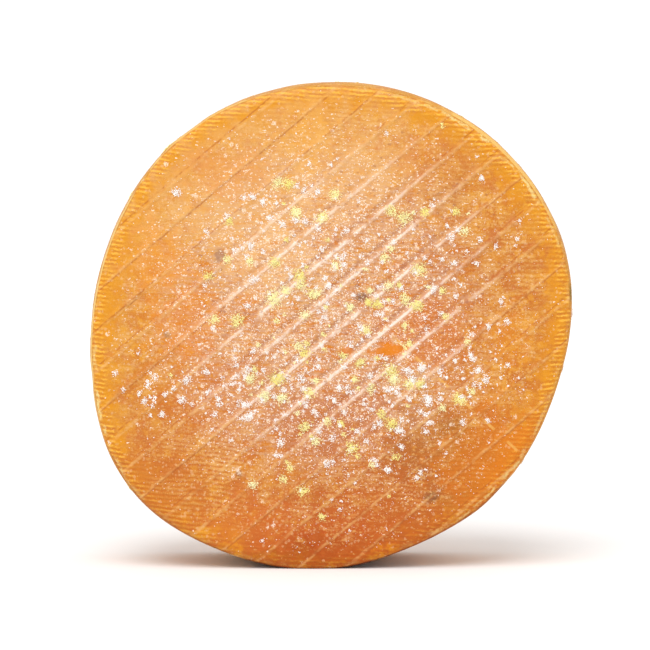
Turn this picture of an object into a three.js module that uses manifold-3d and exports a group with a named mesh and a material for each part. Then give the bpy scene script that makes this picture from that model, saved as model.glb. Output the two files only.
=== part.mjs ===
// A tomme cheese: one whole uncut wheel standing on its rim, with its shown face towards -Y.
// Millimetres, +X to the right of the shown face, +Z up.
// The origin is the bottom centre of the wheel, on the small flat spot that it rests on.

import * as THREE from "three";
import { mergeVertices } from "three/addons/utils/BufferGeometryUtils.js";
import Module from "manifold-3d";

// Wheel, seen from the front: a slightly oval outline, as a mean radius plus a few named lobes.
const MEAN_RADIUS = 103.1;
const THICKNESS = 58;
const LOBES = [
  { turns: 2, size: 3.32, crest: 49.7 },
  { turns: 3, size: 1.02, crest: -5.1 },
  { turns: 4, size: 1.01, crest: 36.9 },
  { turns: 5, size: 0.24, crest: -1.7 },
  { turns: 6, size: 0.25, crest: 23.0 },
  { turns: 7, size: 0.38, crest: 11.8 },
  { turns: 8, size: 0.19, crest: -2.7 },
];

// Small dents in the rim: where round the wheel, how wide in degrees, how deep.
const RIM_DENTS = [
  { at: 125, spread: 4, depth: 0.55 },
  { at: 192, spread: 3, depth: 0.4 },
  { at: 317, spread: 4, depth: 0.45 },
];

// Rim: rounded edges, broader at the upper right, and a soft belly between them.
const EDGE_ROUND = 4.4;
const EDGE_BROADENING = { at: 50, spread: 34, size: 1.2 };
const BELLY = 1.8;
const BELLY_WAVES = { size: 0.35, turns: 5, lean: 0.09 };

// The wheel's middle above the flat spot, which the wheel's own weight has pressed.
const CENTRE_HEIGHT = 102.5;

// Faces: hardly domed, softly uneven, with a low bead where the mould left its edge.
const DOME = 0.9;
const UNEVENNESS = 0.3;
const UNEVEN_LENGTH = 62;
const BEAD_WIDTH = 2.2;
const EDGE_BEADS = [
  { at: 47, spread: 30, height: 0.5 },
  { at: 200, spread: 18, height: 0.6 },
  { at: 318, spread: 22, height: 0.4 },
];

// Ridges that the draining mat pressed into both faces: straight, parallel, evenly spaced.
const RIDGE_ANGLE = 40.2;
const RIDGE_PITCH = 13.15;
const RIDGE_OFFSET = -3.3;
const RIDGE_HEIGHT = 0.6;
const RIDGE_HALF_WIDTH = 1.5;
const RIDGE_CREST_SHARE = 0.35;
const RIDGE_FADE = 5;

// Fineness of the surface.
const ROWS_ALONG_RIDGES = 13;
const ROW_CROWDING = 1.5;
const EDGE_STEPS = 3;
const BELLY_STEPS = 4;
const END_COLUMN_GAPS = [0.5, 2, 4.5, 8.5];

const RIND = new THREE.MeshStandardMaterial({ color: 0xd9903f, roughness: 0.78, metalness: 0 });

const HALF = THICKNESS / 2;
const ALONG = direction(RIDGE_ANGLE);
const ACROSS = direction(RIDGE_ANGLE + 90);
const FRONT = -1;
const BACK = 1;

/** Unit vector in the face plane, X right and Z up, at an angle in degrees. */
function direction(degrees) {
  const angle = THREE.MathUtils.degToRad(degrees);
  return { x: Math.cos(angle), z: Math.sin(angle) };
}

/** A smooth hump of height 1 centred on an angle, all in degrees. */
function hump(degrees, at, spread) {
  const turn = THREE.MathUtils.euclideanModulo(degrees - at + 180, 360) - 180;
  return Math.exp(-((turn / spread) ** 2));
}

/** Distance from the middle of the wheel to its rim at an angle in degrees. */
function rimRadius(degrees) {
  let radius = MEAN_RADIUS;
  for (const { turns, size, crest } of LOBES) {
    radius += size * Math.cos(turns * THREE.MathUtils.degToRad(degrees - crest));
  }
  for (const { at, spread, depth } of RIM_DENTS) {
    radius -= depth * hump(degrees, at, spread);
  }
  return radius;
}

/** How far in from the rim the rounded edge begins. */
function edgeRound(degrees) {
  const { at, spread, size } = EDGE_BROADENING;
  return EDGE_ROUND + size * hump(degrees, at, spread);
}

/** Radius of the flat part of the face at an angle in degrees. */
function faceRadius(degrees) {
  return rimRadius(degrees) - edgeRound(degrees);
}

/** Height of the edge bead at a place on the face. */
function beadHeight(degrees, inset) {
  const swell = Math.exp(-((inset / BEAD_WIDTH) ** 2));
  return EDGE_BEADS.reduce((sum, { at, spread, height }) => sum + height * swell * hump(degrees, at, spread), 0);
}

/** Height of the mat ridges: a rounded crest on each evenly spaced line, a little uneven along it. */
function ridgeHeight(across, along, inset) {
  const step = Math.round((across - RIDGE_OFFSET) / RIDGE_PITCH);
  const off = Math.abs(across - RIDGE_OFFSET - step * RIDGE_PITCH) / RIDGE_HALF_WIDTH;
  if (off >= 1) {
    return 0;
  }
  const crest = Math.min(1, (1 - off) / (1 - RIDGE_CREST_SHARE));
  const fade = THREE.MathUtils.smoothstep(inset, 0, RIDGE_FADE);
  const wear = 0.8 + 0.2 * Math.sin(along / 17 + step * 2.4);
  return RIDGE_HEIGHT * crest * fade * wear;
}

/** Height of a face above its nominal plane. */
function faceHeight(across, along, side) {
  const x = across * ACROSS.x + along * ALONG.x;
  const z = across * ACROSS.z + along * ALONG.z;
  const degrees = THREE.MathUtils.radToDeg(Math.atan2(z, x));
  const radius = faceRadius(degrees);
  const reach = Math.hypot(x, z);
  const inset = radius - reach;
  const wave = Math.sin(x / UNEVEN_LENGTH * 6 + side) * Math.cos(z / UNEVEN_LENGTH * 5 - side);
  const calm = THREE.MathUtils.smoothstep(inset, 0, RIDGE_FADE);
  return (
    DOME * (1 - (reach / radius) ** 2) +
    UNEVENNESS * wave * calm +
    beadHeight(degrees, inset) +
    ridgeHeight(across, along, inset)
  );
}

/** How far the face reaches across the ridges, towards one end. */
function reachAcross(sign) {
  const start = RIDGE_ANGLE + sign * 90;
  let best = 0;
  for (let turn = -20; turn <= 20; turn += 0.25) {
    const radius = faceRadius(start + turn);
    best = Math.max(best, radius * Math.cos(THREE.MathUtils.degToRad(turn)));
  }
  return sign * best;
}

/** The end of the chord at an offset across the ridges, found by halving the angle between its bounds. */
function chordEnd(across, sign) {
  let low = RIDGE_ANGLE + (sign > 0 ? -90 : 270);
  let high = RIDGE_ANGLE + 90;
  for (let round = 0; round < 44; round += 1) {
    const middle = (low + high) / 2;
    const radius = faceRadius(middle);
    if (radius * Math.sin(THREE.MathUtils.degToRad(middle - RIDGE_ANGLE)) < across) {
      low = middle;
    } else {
      high = middle;
    }
  }
  const angle = THREE.MathUtils.degToRad((low + high) / 2 - RIDGE_ANGLE);
  return faceRadius((low + high) / 2) * Math.cos(angle);
}

/** Offsets across the ridges where the surface has a column: feet and crest of each ridge, and between. */
function columnOffsets() {
  const first = reachAcross(-1);
  const last = reachAcross(1);
  const offsets = END_COLUMN_GAPS.flatMap((gap) => [first + gap, last - gap]);
  const widest = END_COLUMN_GAPS.at(-1) + 1.5;
  const from = Math.floor((first - RIDGE_OFFSET) / RIDGE_PITCH);
  const to = Math.ceil((last - RIDGE_OFFSET) / RIDGE_PITCH);
  for (let step = from; step <= to; step += 1) {
    const middle = RIDGE_OFFSET + step * RIDGE_PITCH;
    for (const share of [-1, -RIDGE_CREST_SHARE, RIDGE_CREST_SHARE, 1]) {
      offsets.push(middle + share * RIDGE_HALF_WIDTH);
    }
    offsets.push(middle + RIDGE_PITCH / 2);
  }
  const isEnd = (value) => END_COLUMN_GAPS.some((gap) => value === first + gap || value === last - gap);
  return offsets
    .filter((value) => isEnd(value) || (value > first + widest && value < last - widest))
    .sort((a, b) => a - b);
}

/** Shares of a chord, from -1 to 1, closer together near the rim. */
function rowShares() {
  const shares = [];
  for (let row = 0; row < ROWS_ALONG_RIDGES; row += 1) {
    const even = (2 * row) / (ROWS_ALONG_RIDGES - 1) - 1;
    shares.push(Math.sign(even) * (1 - (1 - Math.abs(even)) ** ROW_CROWDING));
  }
  return shares;
}

/** Grid of face places as { across, along }, one column for each chord. */
function facePlaces() {
  const shares = rowShares();
  return columnOffsets().map((across) => {
    const from = chordEnd(across, -1);
    const to = chordEnd(across, 1);
    return shares.map((share) => ({ across, along: (from + to) / 2 + (share * (to - from)) / 2 }));
  });
}

/** Section of the rim at an angle: places as { inset, y } from the front face round to the back. */
function rimSection(degrees) {
  const round = edgeRound(degrees);
  const belly = BELLY + BELLY_WAVES.size * Math.sin(BELLY_WAVES.turns * THREE.MathUtils.degToRad(degrees));
  const shoulder = HALF - round;
  const front = [];
  for (let step = 1; step <= EDGE_STEPS; step += 1) {
    const angle = (step / EDGE_STEPS) * (Math.PI / 2);
    front.push({ inset: round * (1 - Math.sin(angle)), y: -shoulder - round * Math.cos(angle) });
  }
  const side = [];
  for (let step = 1; step < BELLY_STEPS; step += 1) {
    const share = (2 * step) / BELLY_STEPS - 1;
    const lean = BELLY_WAVES.lean * share * Math.cos(THREE.MathUtils.degToRad(degrees));
    side.push({ inset: -belly * (1 - share * share + lean), y: share * shoulder });
  }
  const back = front.map(({ inset, y }) => ({ inset, y: -y })).reverse();
  return [...front, ...side, ...back];
}

/** Adds triangles and vertices of the wheel's surface. */
class Surface {
  positions = [];
  triangles = [];

  point(x, y, z) {
    this.positions.push(x, y, z);
    return this.positions.length / 3 - 1;
  }

  triangle(a, b, c) {
    this.triangles.push(a, b, c);
  }

  quad(a, b, c, d) {
    this.triangle(a, b, c);
    this.triangle(a, c, d);
  }
}

/** Lays one face on the grid of places and returns its vertex numbers, column by column. */
function addFace(surface, places, side) {
  const grid = places.map((column) =>
    column.map(({ across, along }) => {
      const y = side * (HALF + faceHeight(across, along, side));
      return surface.point(
        across * ACROSS.x + along * ALONG.x,
        y,
        across * ACROSS.z + along * ALONG.z,
      );
    }),
  );
  for (let column = 1; column < grid.length; column += 1) {
    for (let row = 1; row < grid[column].length; row += 1) {
      const a = grid[column - 1][row - 1];
      const b = grid[column - 1][row];
      const c = grid[column][row];
      const d = grid[column][row - 1];
      if (side === FRONT) {
        surface.quad(a, b, c, d);
      } else {
        surface.quad(a, d, c, b);
      }
    }
  }
  return grid;
}

/** Numbers of the grid's border, once round in the same sense for both faces. */
function border(grid) {
  const last = grid.length - 1;
  const end = grid[0].length - 1;
  const upper = grid.map((column) => column[end]);
  const lower = grid.map((column) => column[0]).reverse();
  const farSide = grid[last].slice(1, end).reverse();
  const nearSide = grid[0].slice(1, end);
  return [...upper, ...farSide, ...lower, ...nearSide];
}

/** Joins the borders of the two faces by the rounded edges and the belly of the rim. */
function addRim(surface, frontBorder, backBorder) {
  const rings = frontBorder.map((front, index) => {
    const x = surface.positions[3 * front];
    const z = surface.positions[3 * front + 2];
    const degrees = THREE.MathUtils.radToDeg(Math.atan2(z, x));
    const turn = direction(degrees);
    const section = rimSection(degrees).map(({ inset, y }) => {
      const radius = rimRadius(degrees) - inset;
      return surface.point(radius * turn.x, y, radius * turn.z);
    });
    return [front, ...section, backBorder[index]];
  });
  rings.forEach((ring, index) => {
    const next = rings[(index + 1) % rings.length];
    for (let step = 1; step < ring.length; step += 1) {
      surface.quad(ring[step - 1], ring[step], next[step], next[step - 1]);
    }
  });
}

/** The wheel's closed surface, round its own middle. */
function wheelGeometry() {
  const places = facePlaces();
  const surface = new Surface();
  const front = addFace(surface, places, FRONT);
  const back = addFace(surface, places, BACK);
  addRim(surface, border(front), border(back));
  const geometry = new THREE.BufferGeometry();
  geometry.setAttribute("position", new THREE.Float32BufferAttribute(surface.positions, 3));
  geometry.setIndex(surface.triangles);
  return mergeVertices(geometry, 1e-4);
}

/** Cuts everything below the flat spot off a closed geometry. */
async function pressFlat(geometry, level) {
  const wasm = await Module();
  wasm.setup();
  const solid = (closed) =>
    new wasm.Manifold(
      new wasm.Mesh({
        numProp: 3,
        vertProperties: closed.attributes.position.array,
        triVerts: new Uint32Array(closed.index.array),
      }),
    );
  const block = new THREE.BoxGeometry(3 * MEAN_RADIUS, 3 * THICKNESS, MEAN_RADIUS);
  block.deleteAttribute("normal");
  block.deleteAttribute("uv");
  block.translate(0, 0, level - MEAN_RADIUS / 2);
  const mesh = solid(geometry).subtract(solid(mergeVertices(block))).getMesh();
  const cut = new THREE.BufferGeometry();
  cut.setAttribute("position", new THREE.BufferAttribute(mesh.vertProperties, 3));
  cut.setIndex(new THREE.BufferAttribute(mesh.triVerts, 1));
  return cut;
}

/** Moves a geometry so that the middle of its bottom is the origin. */
function standOnOrigin(geometry) {
  geometry.computeBoundingBox();
  const { min, max } = geometry.boundingBox;
  geometry.translate(-(min.x + max.x) / 2, -(min.y + max.y) / 2, -min.z);
  geometry.computeVertexNormals();
  return geometry;
}

const pressed = await pressFlat(wheelGeometry(), -CENTRE_HEIGHT);
const wheel = new THREE.Mesh(standOnOrigin(pressed), RIND);
wheel.name = "cheese_wheel";

const tomme = new THREE.Group();
tomme.add(wheel);

export default tomme;
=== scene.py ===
"""A whole tomme cheese standing on its rim, with its ribbed orange rind and its mould.

It stands in a plain pale studio.

Sizes are in millimetres unless a name or a docstring says otherwise. The wheel's plan is seen from the front:
x to the right and z up from the middle of the wheel, with the shown face towards -Y.
"""

import logging
import math
from dataclasses import dataclass, field
from enum import Enum
from functools import cached_property
from typing import Any, Iterable, Sequence

import bpy
import numpy as np
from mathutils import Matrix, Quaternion, Vector, noise

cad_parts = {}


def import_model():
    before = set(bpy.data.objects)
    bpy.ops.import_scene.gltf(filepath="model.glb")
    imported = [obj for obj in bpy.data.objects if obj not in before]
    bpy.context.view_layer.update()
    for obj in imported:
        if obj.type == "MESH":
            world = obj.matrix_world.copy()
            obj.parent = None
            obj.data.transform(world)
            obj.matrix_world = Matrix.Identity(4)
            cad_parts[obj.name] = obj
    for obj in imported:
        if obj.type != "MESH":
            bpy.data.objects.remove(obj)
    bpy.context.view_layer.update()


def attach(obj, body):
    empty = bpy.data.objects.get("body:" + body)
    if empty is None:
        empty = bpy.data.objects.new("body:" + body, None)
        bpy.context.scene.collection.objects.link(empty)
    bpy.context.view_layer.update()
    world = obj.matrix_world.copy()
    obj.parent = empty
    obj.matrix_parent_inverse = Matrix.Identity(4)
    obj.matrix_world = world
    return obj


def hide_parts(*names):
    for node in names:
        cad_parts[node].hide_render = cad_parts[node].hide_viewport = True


LOG = logging.getLogger("tomme")
NODE = "cheese_wheel"
BODY = "root"
MM = 0.001
FLOAT = "NodeSocketFloat"
VECTOR = "NodeSocketVector"

Colour = tuple[float, float, float]
Socket = bpy.types.NodeSocket
Tuft = tuple[float, float, float]


def srgb(red: float, green: float, blue: float) -> tuple[float, float, float, float]:
    """Turns a colour in 0 to 255 screen steps into a linear one.

    Args:
        red: Red, 0 to 255.
        green: Green, 0 to 255.
        blue: Blue, 0 to 255.

    Returns:
        The linear colour with an alpha of 1.
    """
    parts = []
    for step in (red, green, blue):
        share = step / 255.0
        parts.append(share / 12.92 if share <= 0.04045 else ((share + 0.055) / 1.055) ** 2.4)
    return (parts[0], parts[1], parts[2], 1.0)


class Side(Enum):
    """Which face of the wheel, as the sign of its Y."""

    FRONT = -1
    BACK = 1


class Growth(Enum):
    """The kinds of growth on the rind, by the name of the piece that each one makes."""

    YELLOW = "yellow_mould"
    WHITE = "white_mould"
    SPECKS = "white_specks"


@dataclass(frozen=True)
class Lobe:
    """One smooth wave of the outline: how often round, how high, and where its crest is in degrees."""

    turns: int
    size: float
    crest: float


@dataclass(frozen=True)
class Hump:
    """A soft local change round the wheel: where, how wide in degrees, and how high."""

    at: float
    spread: float
    size: float

    def over(self, degrees: np.ndarray) -> np.ndarray:
        """Gives the hump's height at angles in degrees."""
        turn = (degrees - self.at + 180.0) % 360.0 - 180.0
        return self.size * np.exp(-((turn / self.spread) ** 2))


@dataclass(frozen=True)
class Crease:
    """A short narrow crack beside a ridge.

    The ridge is counted from the middle one, and the crack lies off its crest, centred at a place along it.
    """

    ridge: int
    off: float
    along: float
    length: float
    depth: float


@dataclass
class WheelForm:
    """The wheel's true form, as the solid has it, worked out from named sizes."""

    mean_radius: float = 103.1
    thickness: float = 58.0
    centre_height: float = 102.5
    lobes: tuple[Lobe, ...] = (
        Lobe(2, 3.32, 49.7),
        Lobe(3, 1.02, -5.1),
        Lobe(4, 1.01, 36.9),
        Lobe(5, 0.24, -1.7),
        Lobe(6, 0.25, 23.0),
        Lobe(7, 0.38, 11.8),
        Lobe(8, 0.19, -2.7),
    )
    rim_dents: tuple[Hump, ...] = (Hump(125, 4, 0.55), Hump(192, 3, 0.4), Hump(317, 4, 0.45))
    edge_round: float = 4.4
    edge_broadening: Hump = Hump(50, 34, 1.2)
    belly: float = 1.8
    belly_wave: float = 0.35
    belly_wave_turns: int = 5
    belly_lean: float = 0.09
    dome: float = 0.9
    unevenness: float = 0.3
    uneven_length: float = 62.0
    bead_width: float = 2.2
    edge_beads: tuple[Hump, ...] = (Hump(47, 30, 0.5), Hump(200, 18, 0.6), Hump(318, 22, 0.4))
    ridge_angle: float = 40.2
    ridge_pitch: float = 13.15
    ridge_offset: float = -3.3
    ridge_height: float = 0.6
    ridge_half_width: float = 1.5
    ridge_fade: float = 5.0
    ridge_wear: float = 0.2
    wear_length: float = 17.0
    wear_shift: float = 2.4
    uneven_turns: tuple[int, int] = (6, 5)
    crease_width: float = 0.34
    halvings: int = 44
    search_span: float = 20.0
    search_step: float = 0.25
    creases: tuple[Crease, ...] = (
        Crease(5, -0.9, -56.0, 9.0, 0.4),
        Crease(-1, 1.7, 94.0, 11.0, 0.25),
        Crease(3, 1.6, -88.0, 8.0, 0.3),
        Crease(-4, 1.6, 60.0, 9.0, 0.3),
    )

    @property
    def half(self) -> float:
        """Half of the wheel's thickness."""
        return self.thickness / 2

    @property
    def along_axis(self) -> np.ndarray:
        """Unit vector along the ridges, as (x, z)."""
        angle = math.radians(self.ridge_angle)
        return np.array((math.cos(angle), math.sin(angle)))

    @property
    def across_axis(self) -> np.ndarray:
        """Unit vector across the ridges, up and to the left, as (x, z)."""
        angle = math.radians(self.ridge_angle + 90)
        return np.array((math.cos(angle), math.sin(angle)))

    def rim_radius(self, degrees: np.ndarray) -> np.ndarray:
        """Gives the distance from the middle to the rim.

        Args:
            degrees: Angles round the wheel, from +X towards +Z.

        Returns:
            The radius at each angle.
        """
        radius = np.full(np.shape(degrees), self.mean_radius)
        for lobe in self.lobes:
            radius = radius + lobe.size * np.cos(np.radians(lobe.turns * (degrees - lobe.crest)))
        for dent in self.rim_dents:
            radius = radius - dent.over(degrees)
        return radius

    def round_at(self, degrees: np.ndarray) -> np.ndarray:
        """Gives how far in from the rim the rounded edge begins, at angles in degrees."""
        return self.edge_round + self.edge_broadening.over(degrees)

    def face_radius(self, degrees: np.ndarray) -> np.ndarray:
        """Gives the radius of the flat part of a face, at angles in degrees."""
        return self.rim_radius(degrees) - self.round_at(degrees)

    def plan(self, across: np.ndarray, along: np.ndarray) -> tuple[np.ndarray, np.ndarray]:
        """Turns places across and along the ridges into plan coordinates.

        Args:
            across: Offsets across the ridges.
            along: Offsets along the ridges.

        Returns:
            The x and z of each place, from the wheel's middle.
        """
        x = across * self.across_axis[0] + along * self.along_axis[0]
        z = across * self.across_axis[1] + along * self.along_axis[1]
        return x, z

    def inset(self, x: np.ndarray, z: np.ndarray) -> np.ndarray:
        """Gives how far inside the flat part of the face each plan place is."""
        return self.face_radius(np.degrees(np.arctan2(z, x))) - np.hypot(x, z)

    def bead_height(self, degrees: np.ndarray, inset: np.ndarray) -> np.ndarray:
        """Gives the height of the low bead along the face's edge."""
        swell = np.exp(-((inset / self.bead_width) ** 2))
        return swell * sum(bead.over(degrees) for bead in self.edge_beads)

    def ridge_step(self, across: np.ndarray) -> np.ndarray:
        """Gives the number of the nearest ridge, counted from the middle one."""
        return np.round((across - self.ridge_offset) / self.ridge_pitch)

    def ridge_crest(self, across: np.ndarray) -> np.ndarray:
        """Gives how far up a ridge each place is.

        Args:
            across: Offsets across the ridges.

        Returns:
            A share from 0 at a ridge's foot to 1 on its crest.
        """
        off = across - self.ridge_offset - self.ridge_step(across) * self.ridge_pitch
        share = np.clip(np.abs(off) / self.ridge_half_width, 0.0, 1.0)
        rise = np.cos(share * math.pi / 2) ** 2
        return rise * (2 - rise)

    def edge_calm(self, inset: np.ndarray) -> np.ndarray:
        """Gives a smooth share from 0 at the face's edge to 1 further in."""
        share = np.clip(inset / self.ridge_fade, 0.0, 1.0)
        return share * share * (3 - 2 * share)

    def crease_depth(self, across: np.ndarray, along: np.ndarray) -> np.ndarray:
        """Gives the depth of the short cracks beside the ridges.

        Args:
            across: Offsets across the ridges.
            along: Offsets along the ridges.

        Returns:
            The depth of each place.
        """
        depth = np.zeros(np.broadcast(across, along).shape)
        for crease in self.creases:
            middle = self.ridge_offset + crease.ridge * self.ridge_pitch + crease.off
            narrow = np.exp(-(((across - middle) / self.crease_width) ** 2))
            run = np.clip(1 - (2 * (along - crease.along) / crease.length) ** 2, 0, 1)
            depth = depth + crease.depth * narrow * np.sqrt(run)
        return depth

    def face_height(self, across: np.ndarray, along: np.ndarray, side: Side) -> np.ndarray:
        """Gives the height of a face above its nominal plane.

        Args:
            across: Offsets across the ridges.
            along: Offsets along the ridges.
            side: Which face.

        Returns:
            The height of each place.
        """
        x, z = self.plan(across, along)
        degrees = np.degrees(np.arctan2(z, x))
        reach = np.hypot(x, z) / self.face_radius(degrees)
        inset = self.inset(x, z)
        sign = side.value
        turns_x, turns_z = self.uneven_turns
        wave = np.sin(x / self.uneven_length * turns_x + sign)
        wave = wave * np.cos(z / self.uneven_length * turns_z - sign)
        calm = self.edge_calm(inset)
        swing = np.sin(along / self.wear_length + self.ridge_step(across) * self.wear_shift)
        wear = 1 - self.ridge_wear + self.ridge_wear * swing
        height = self.dome * (1 - reach**2) + self.unevenness * wave * calm
        height = height + self.bead_height(degrees, inset)
        return height + self.ridge_height * self.ridge_crest(across) * calm * wear

    def reach_across(self, sign: int) -> float:
        """Gives how far the face reaches across the ridges.

        Args:
            sign: 1 for the upper left side, -1 for the lower right one.

        Returns:
            The offset of the furthest point, with its sign.
        """
        turn = np.arange(-self.search_span, self.search_span + self.search_step, self.search_step)
        radius = self.face_radius(self.ridge_angle + sign * 90 + turn)
        return sign * float(np.max(radius * np.cos(np.radians(turn))))

    def chord_end(self, across: np.ndarray, sign: int) -> np.ndarray:
        """Finds where chords along the ridges meet the face's edge, by halving an angle between its bounds.

        Args:
            across: The chords' offsets across the ridges.
            sign: 1 for the upper right end, -1 for the lower left one.

        Returns:
            The place of each end along its chord.
        """
        low = np.full(across.shape, self.ridge_angle + (-90 if sign > 0 else 270))
        high = np.full(across.shape, self.ridge_angle + 90.0)
        for _ in range(self.halvings):
            middle = (low + high) / 2
            short = self.face_radius(middle) * np.sin(np.radians(middle - self.ridge_angle)) < across
            low = np.where(short, middle, low)
            high = np.where(short, high, middle)
        middle = (low + high) / 2
        return self.face_radius(middle) * np.cos(np.radians(middle - self.ridge_angle))

    def rim_belly(self, degrees: np.ndarray, share: np.ndarray) -> np.ndarray:
        """Gives how far the rim swells out between the rounded edges.

        Args:
            degrees: Angles round the wheel.
            share: Places through the wheel, from -1 at the front edge to 1 at the back one.

        Returns:
            The swell beyond the rim radius.
        """
        belly = self.belly + self.belly_wave * np.sin(np.radians(self.belly_wave_turns * degrees))
        lean = self.belly_lean * share * np.cos(np.radians(degrees))
        return belly * (1 - share * share + lean * (1 - share * share))

    @property
    def middle_x(self) -> float:
        """Finds the wheel's middle in the frame, whose origin is under the middle of the wheel's box.

        Returns:
            The middle's X.
        """
        degrees = np.arange(0.0, 360.0, self.search_step)
        radius = self.rim_radius(degrees) + self.rim_belly(degrees, np.zeros(degrees.shape))
        x = radius * np.cos(np.radians(degrees))
        return -float(x.min() + x.max()) / 2


def smooth_noise(points: np.ndarray, length: float, seed: float) -> np.ndarray:
    """Gives soft noise between about -1 and 1.

    Args:
        points: Places, one row each, in millimetres.
        length: Size of the noise's features in millimetres.
        seed: Shifts the noise, so that two calls differ.

    Returns:
        One value for each place.
    """
    return np.array([noise.noise(Vector(p / length) + Vector((seed, -seed, seed))) for p in points])


class NodeDesk:
    """A node tree at work, with short calls for the nodes that it uses most."""

    def __init__(self, tree: bpy.types.NodeTree) -> None:
        """Takes the tree to work on."""
        self.tree = tree

    def add(self, kind: str, **settings: Any) -> bpy.types.Node:
        """Adds a node.

        Args:
            kind: The node's type name.
            settings: Properties of the node and their values.

        Returns:
            The new node.
        """
        node = self.tree.nodes.new(kind)
        for name, value in settings.items():
            setattr(node, name, value)
        return node

    def feed(self, socket: Socket, value: Any) -> None:
        """Links an output to a socket, or sets the socket's own value.

        Args:
            socket: The input socket.
            value: An output socket or a value.
        """
        if isinstance(value, Socket):
            self.tree.links.new(value, socket)
        else:
            socket.default_value = value

    def math(self, operation: str, first: Any, second: Any = 0.0, third: Any = 0.0) -> Socket:
        """Adds a Math node.

        Args:
            operation: The node's operation.
            first: First value or output.
            second: Second value or output.
            third: Third value or output.

        Returns:
            The result.
        """
        node = self.add("ShaderNodeMath", operation=operation)
        for socket, value in zip(node.inputs, (first, second, third)):
            self.feed(socket, value)
        return node.outputs[0]

    def product(self, *values: Any) -> Socket:
        """Multiplies values or outputs.

        Args:
            values: What is multiplied, in order.

        Returns:
            The product.
        """
        result = values[0]
        for value in values[1:]:
            result = self.math("MULTIPLY", result, value)
        return result

    def linear(self, value: Any, gain: Any, start: Any) -> Socket:
        """Gives a value times a gain, plus a start."""
        return self.math("MULTIPLY_ADD", value, gain, start)

    def gap(self, first: Any, second: Any) -> Socket:
        """Gives how far apart two values are."""
        return self.math("ABSOLUTE", self.math("SUBTRACT", first, second))

    def vector_math(self, operation: str, first: Any, second: Any) -> Socket:
        """Adds a Vector Math node.

        Args:
            operation: The node's operation.
            first: First vector or output.
            second: Second vector or output.

        Returns:
            The vector, or the value of a dot product or a distance.
        """
        node = self.add("ShaderNodeVectorMath", operation=operation)
        self.feed(node.inputs[0], first)
        self.feed(node.inputs[1], second)
        return node.outputs["Value" if operation in ("DOT_PRODUCT", "DISTANCE") else "Vector"]

    def span(self, value: Any, low: float, high: float, start: float = 0.0, end: float = 1.0) -> Socket:
        """Maps a value smoothly from one range to another, and holds it there.

        Args:
            value: The value or output to map.
            low: Value that gives start.
            high: Value that gives end.
            start: Result at low.
            end: Result at high.

        Returns:
            The mapped value.
        """
        node = self.add("ShaderNodeMapRange", interpolation_type="SMOOTHSTEP", clamp=True)
        for socket, number in zip(node.inputs, (value, low, high, start, end)):
            self.feed(socket, number)
        return node.outputs[0]

    def mix(self, share: Any, first: Any, second: Any) -> Socket:
        """Mixes two colours.

        Args:
            share: Share of the second colour.
            first: First colour in screen steps, or an output.
            second: Second colour in screen steps, or an output.

        Returns:
            The mixed colour.
        """
        node = self.add("ShaderNodeMix", data_type="RGBA", clamp_factor=True)
        self.feed(node.inputs[0], share)
        for number, colour in ((6, first), (7, second)):
            self.feed(node.inputs[number], srgb(*colour) if isinstance(colour, tuple) else colour)
        return node.outputs[2]

    def noise(self, place: Any, scale: float, detail: float = 2.0, roughness: float = 0.5) -> Socket:
        """Adds a Noise Texture.

        Args:
            place: Output that gives the place, in millimetres.
            scale: Features in a millimetre.
            detail: Octaves.
            roughness: Weight of the finer octaves.

        Returns:
            The noise, 0 to 1.
        """
        node = self.add("ShaderNodeTexNoise")
        self.feed(node.inputs["Vector"], place)
        self.feed(node.inputs["Scale"], scale)
        self.feed(node.inputs["Detail"], detail)
        self.feed(node.inputs["Roughness"], roughness)
        return node.outputs[0]

    def attribute(self, name: str) -> Socket:
        """Reads a number stored on the mesh."""
        return self.add("ShaderNodeAttribute", attribute_name=name).outputs["Fac"]


class ShaderGroup:
    """A shader node group with named inputs and outputs."""

    def __init__(
        self, name: str, inputs: Sequence[tuple[str, str, Any]], outputs: Sequence[tuple[str, str]]
    ) -> None:
        """Makes the empty group.

        Args:
            name: The group's name.
            inputs: Name, socket type and default value of each input.
            outputs: Name and socket type of each output.
        """
        self.tree = bpy.data.node_groups.new(name, "ShaderNodeTree")
        for label, kind, value in inputs:
            socket = self.tree.interface.new_socket(label, in_out="INPUT", socket_type=kind)
            if value is not None:
                socket.default_value = value
        for label, kind in outputs:
            self.tree.interface.new_socket(label, in_out="OUTPUT", socket_type=kind)
        self.desk = NodeDesk(self.tree)
        self.source = self.tree.nodes.new("NodeGroupInput")
        self.target = self.tree.nodes.new("NodeGroupOutput")

    def give(self, **results: Socket) -> None:
        """Links results to the outputs of their names."""
        for label, value in results.items():
            self.tree.links.new(value, self.target.inputs[label])

    def place(self, desk: NodeDesk, **values: Any) -> bpy.types.Node:
        """Places the group in a material.

        Args:
            desk: The material's tree.
            values: Values or outputs for the inputs, with spaces in a name written as underscores.

        Returns:
            The group's node.
        """
        node = desk.add("ShaderNodeGroup", node_tree=self.tree)
        for label, value in values.items():
            desk.feed(node.inputs[label.replace("_", " ")], value)
        return node


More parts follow.
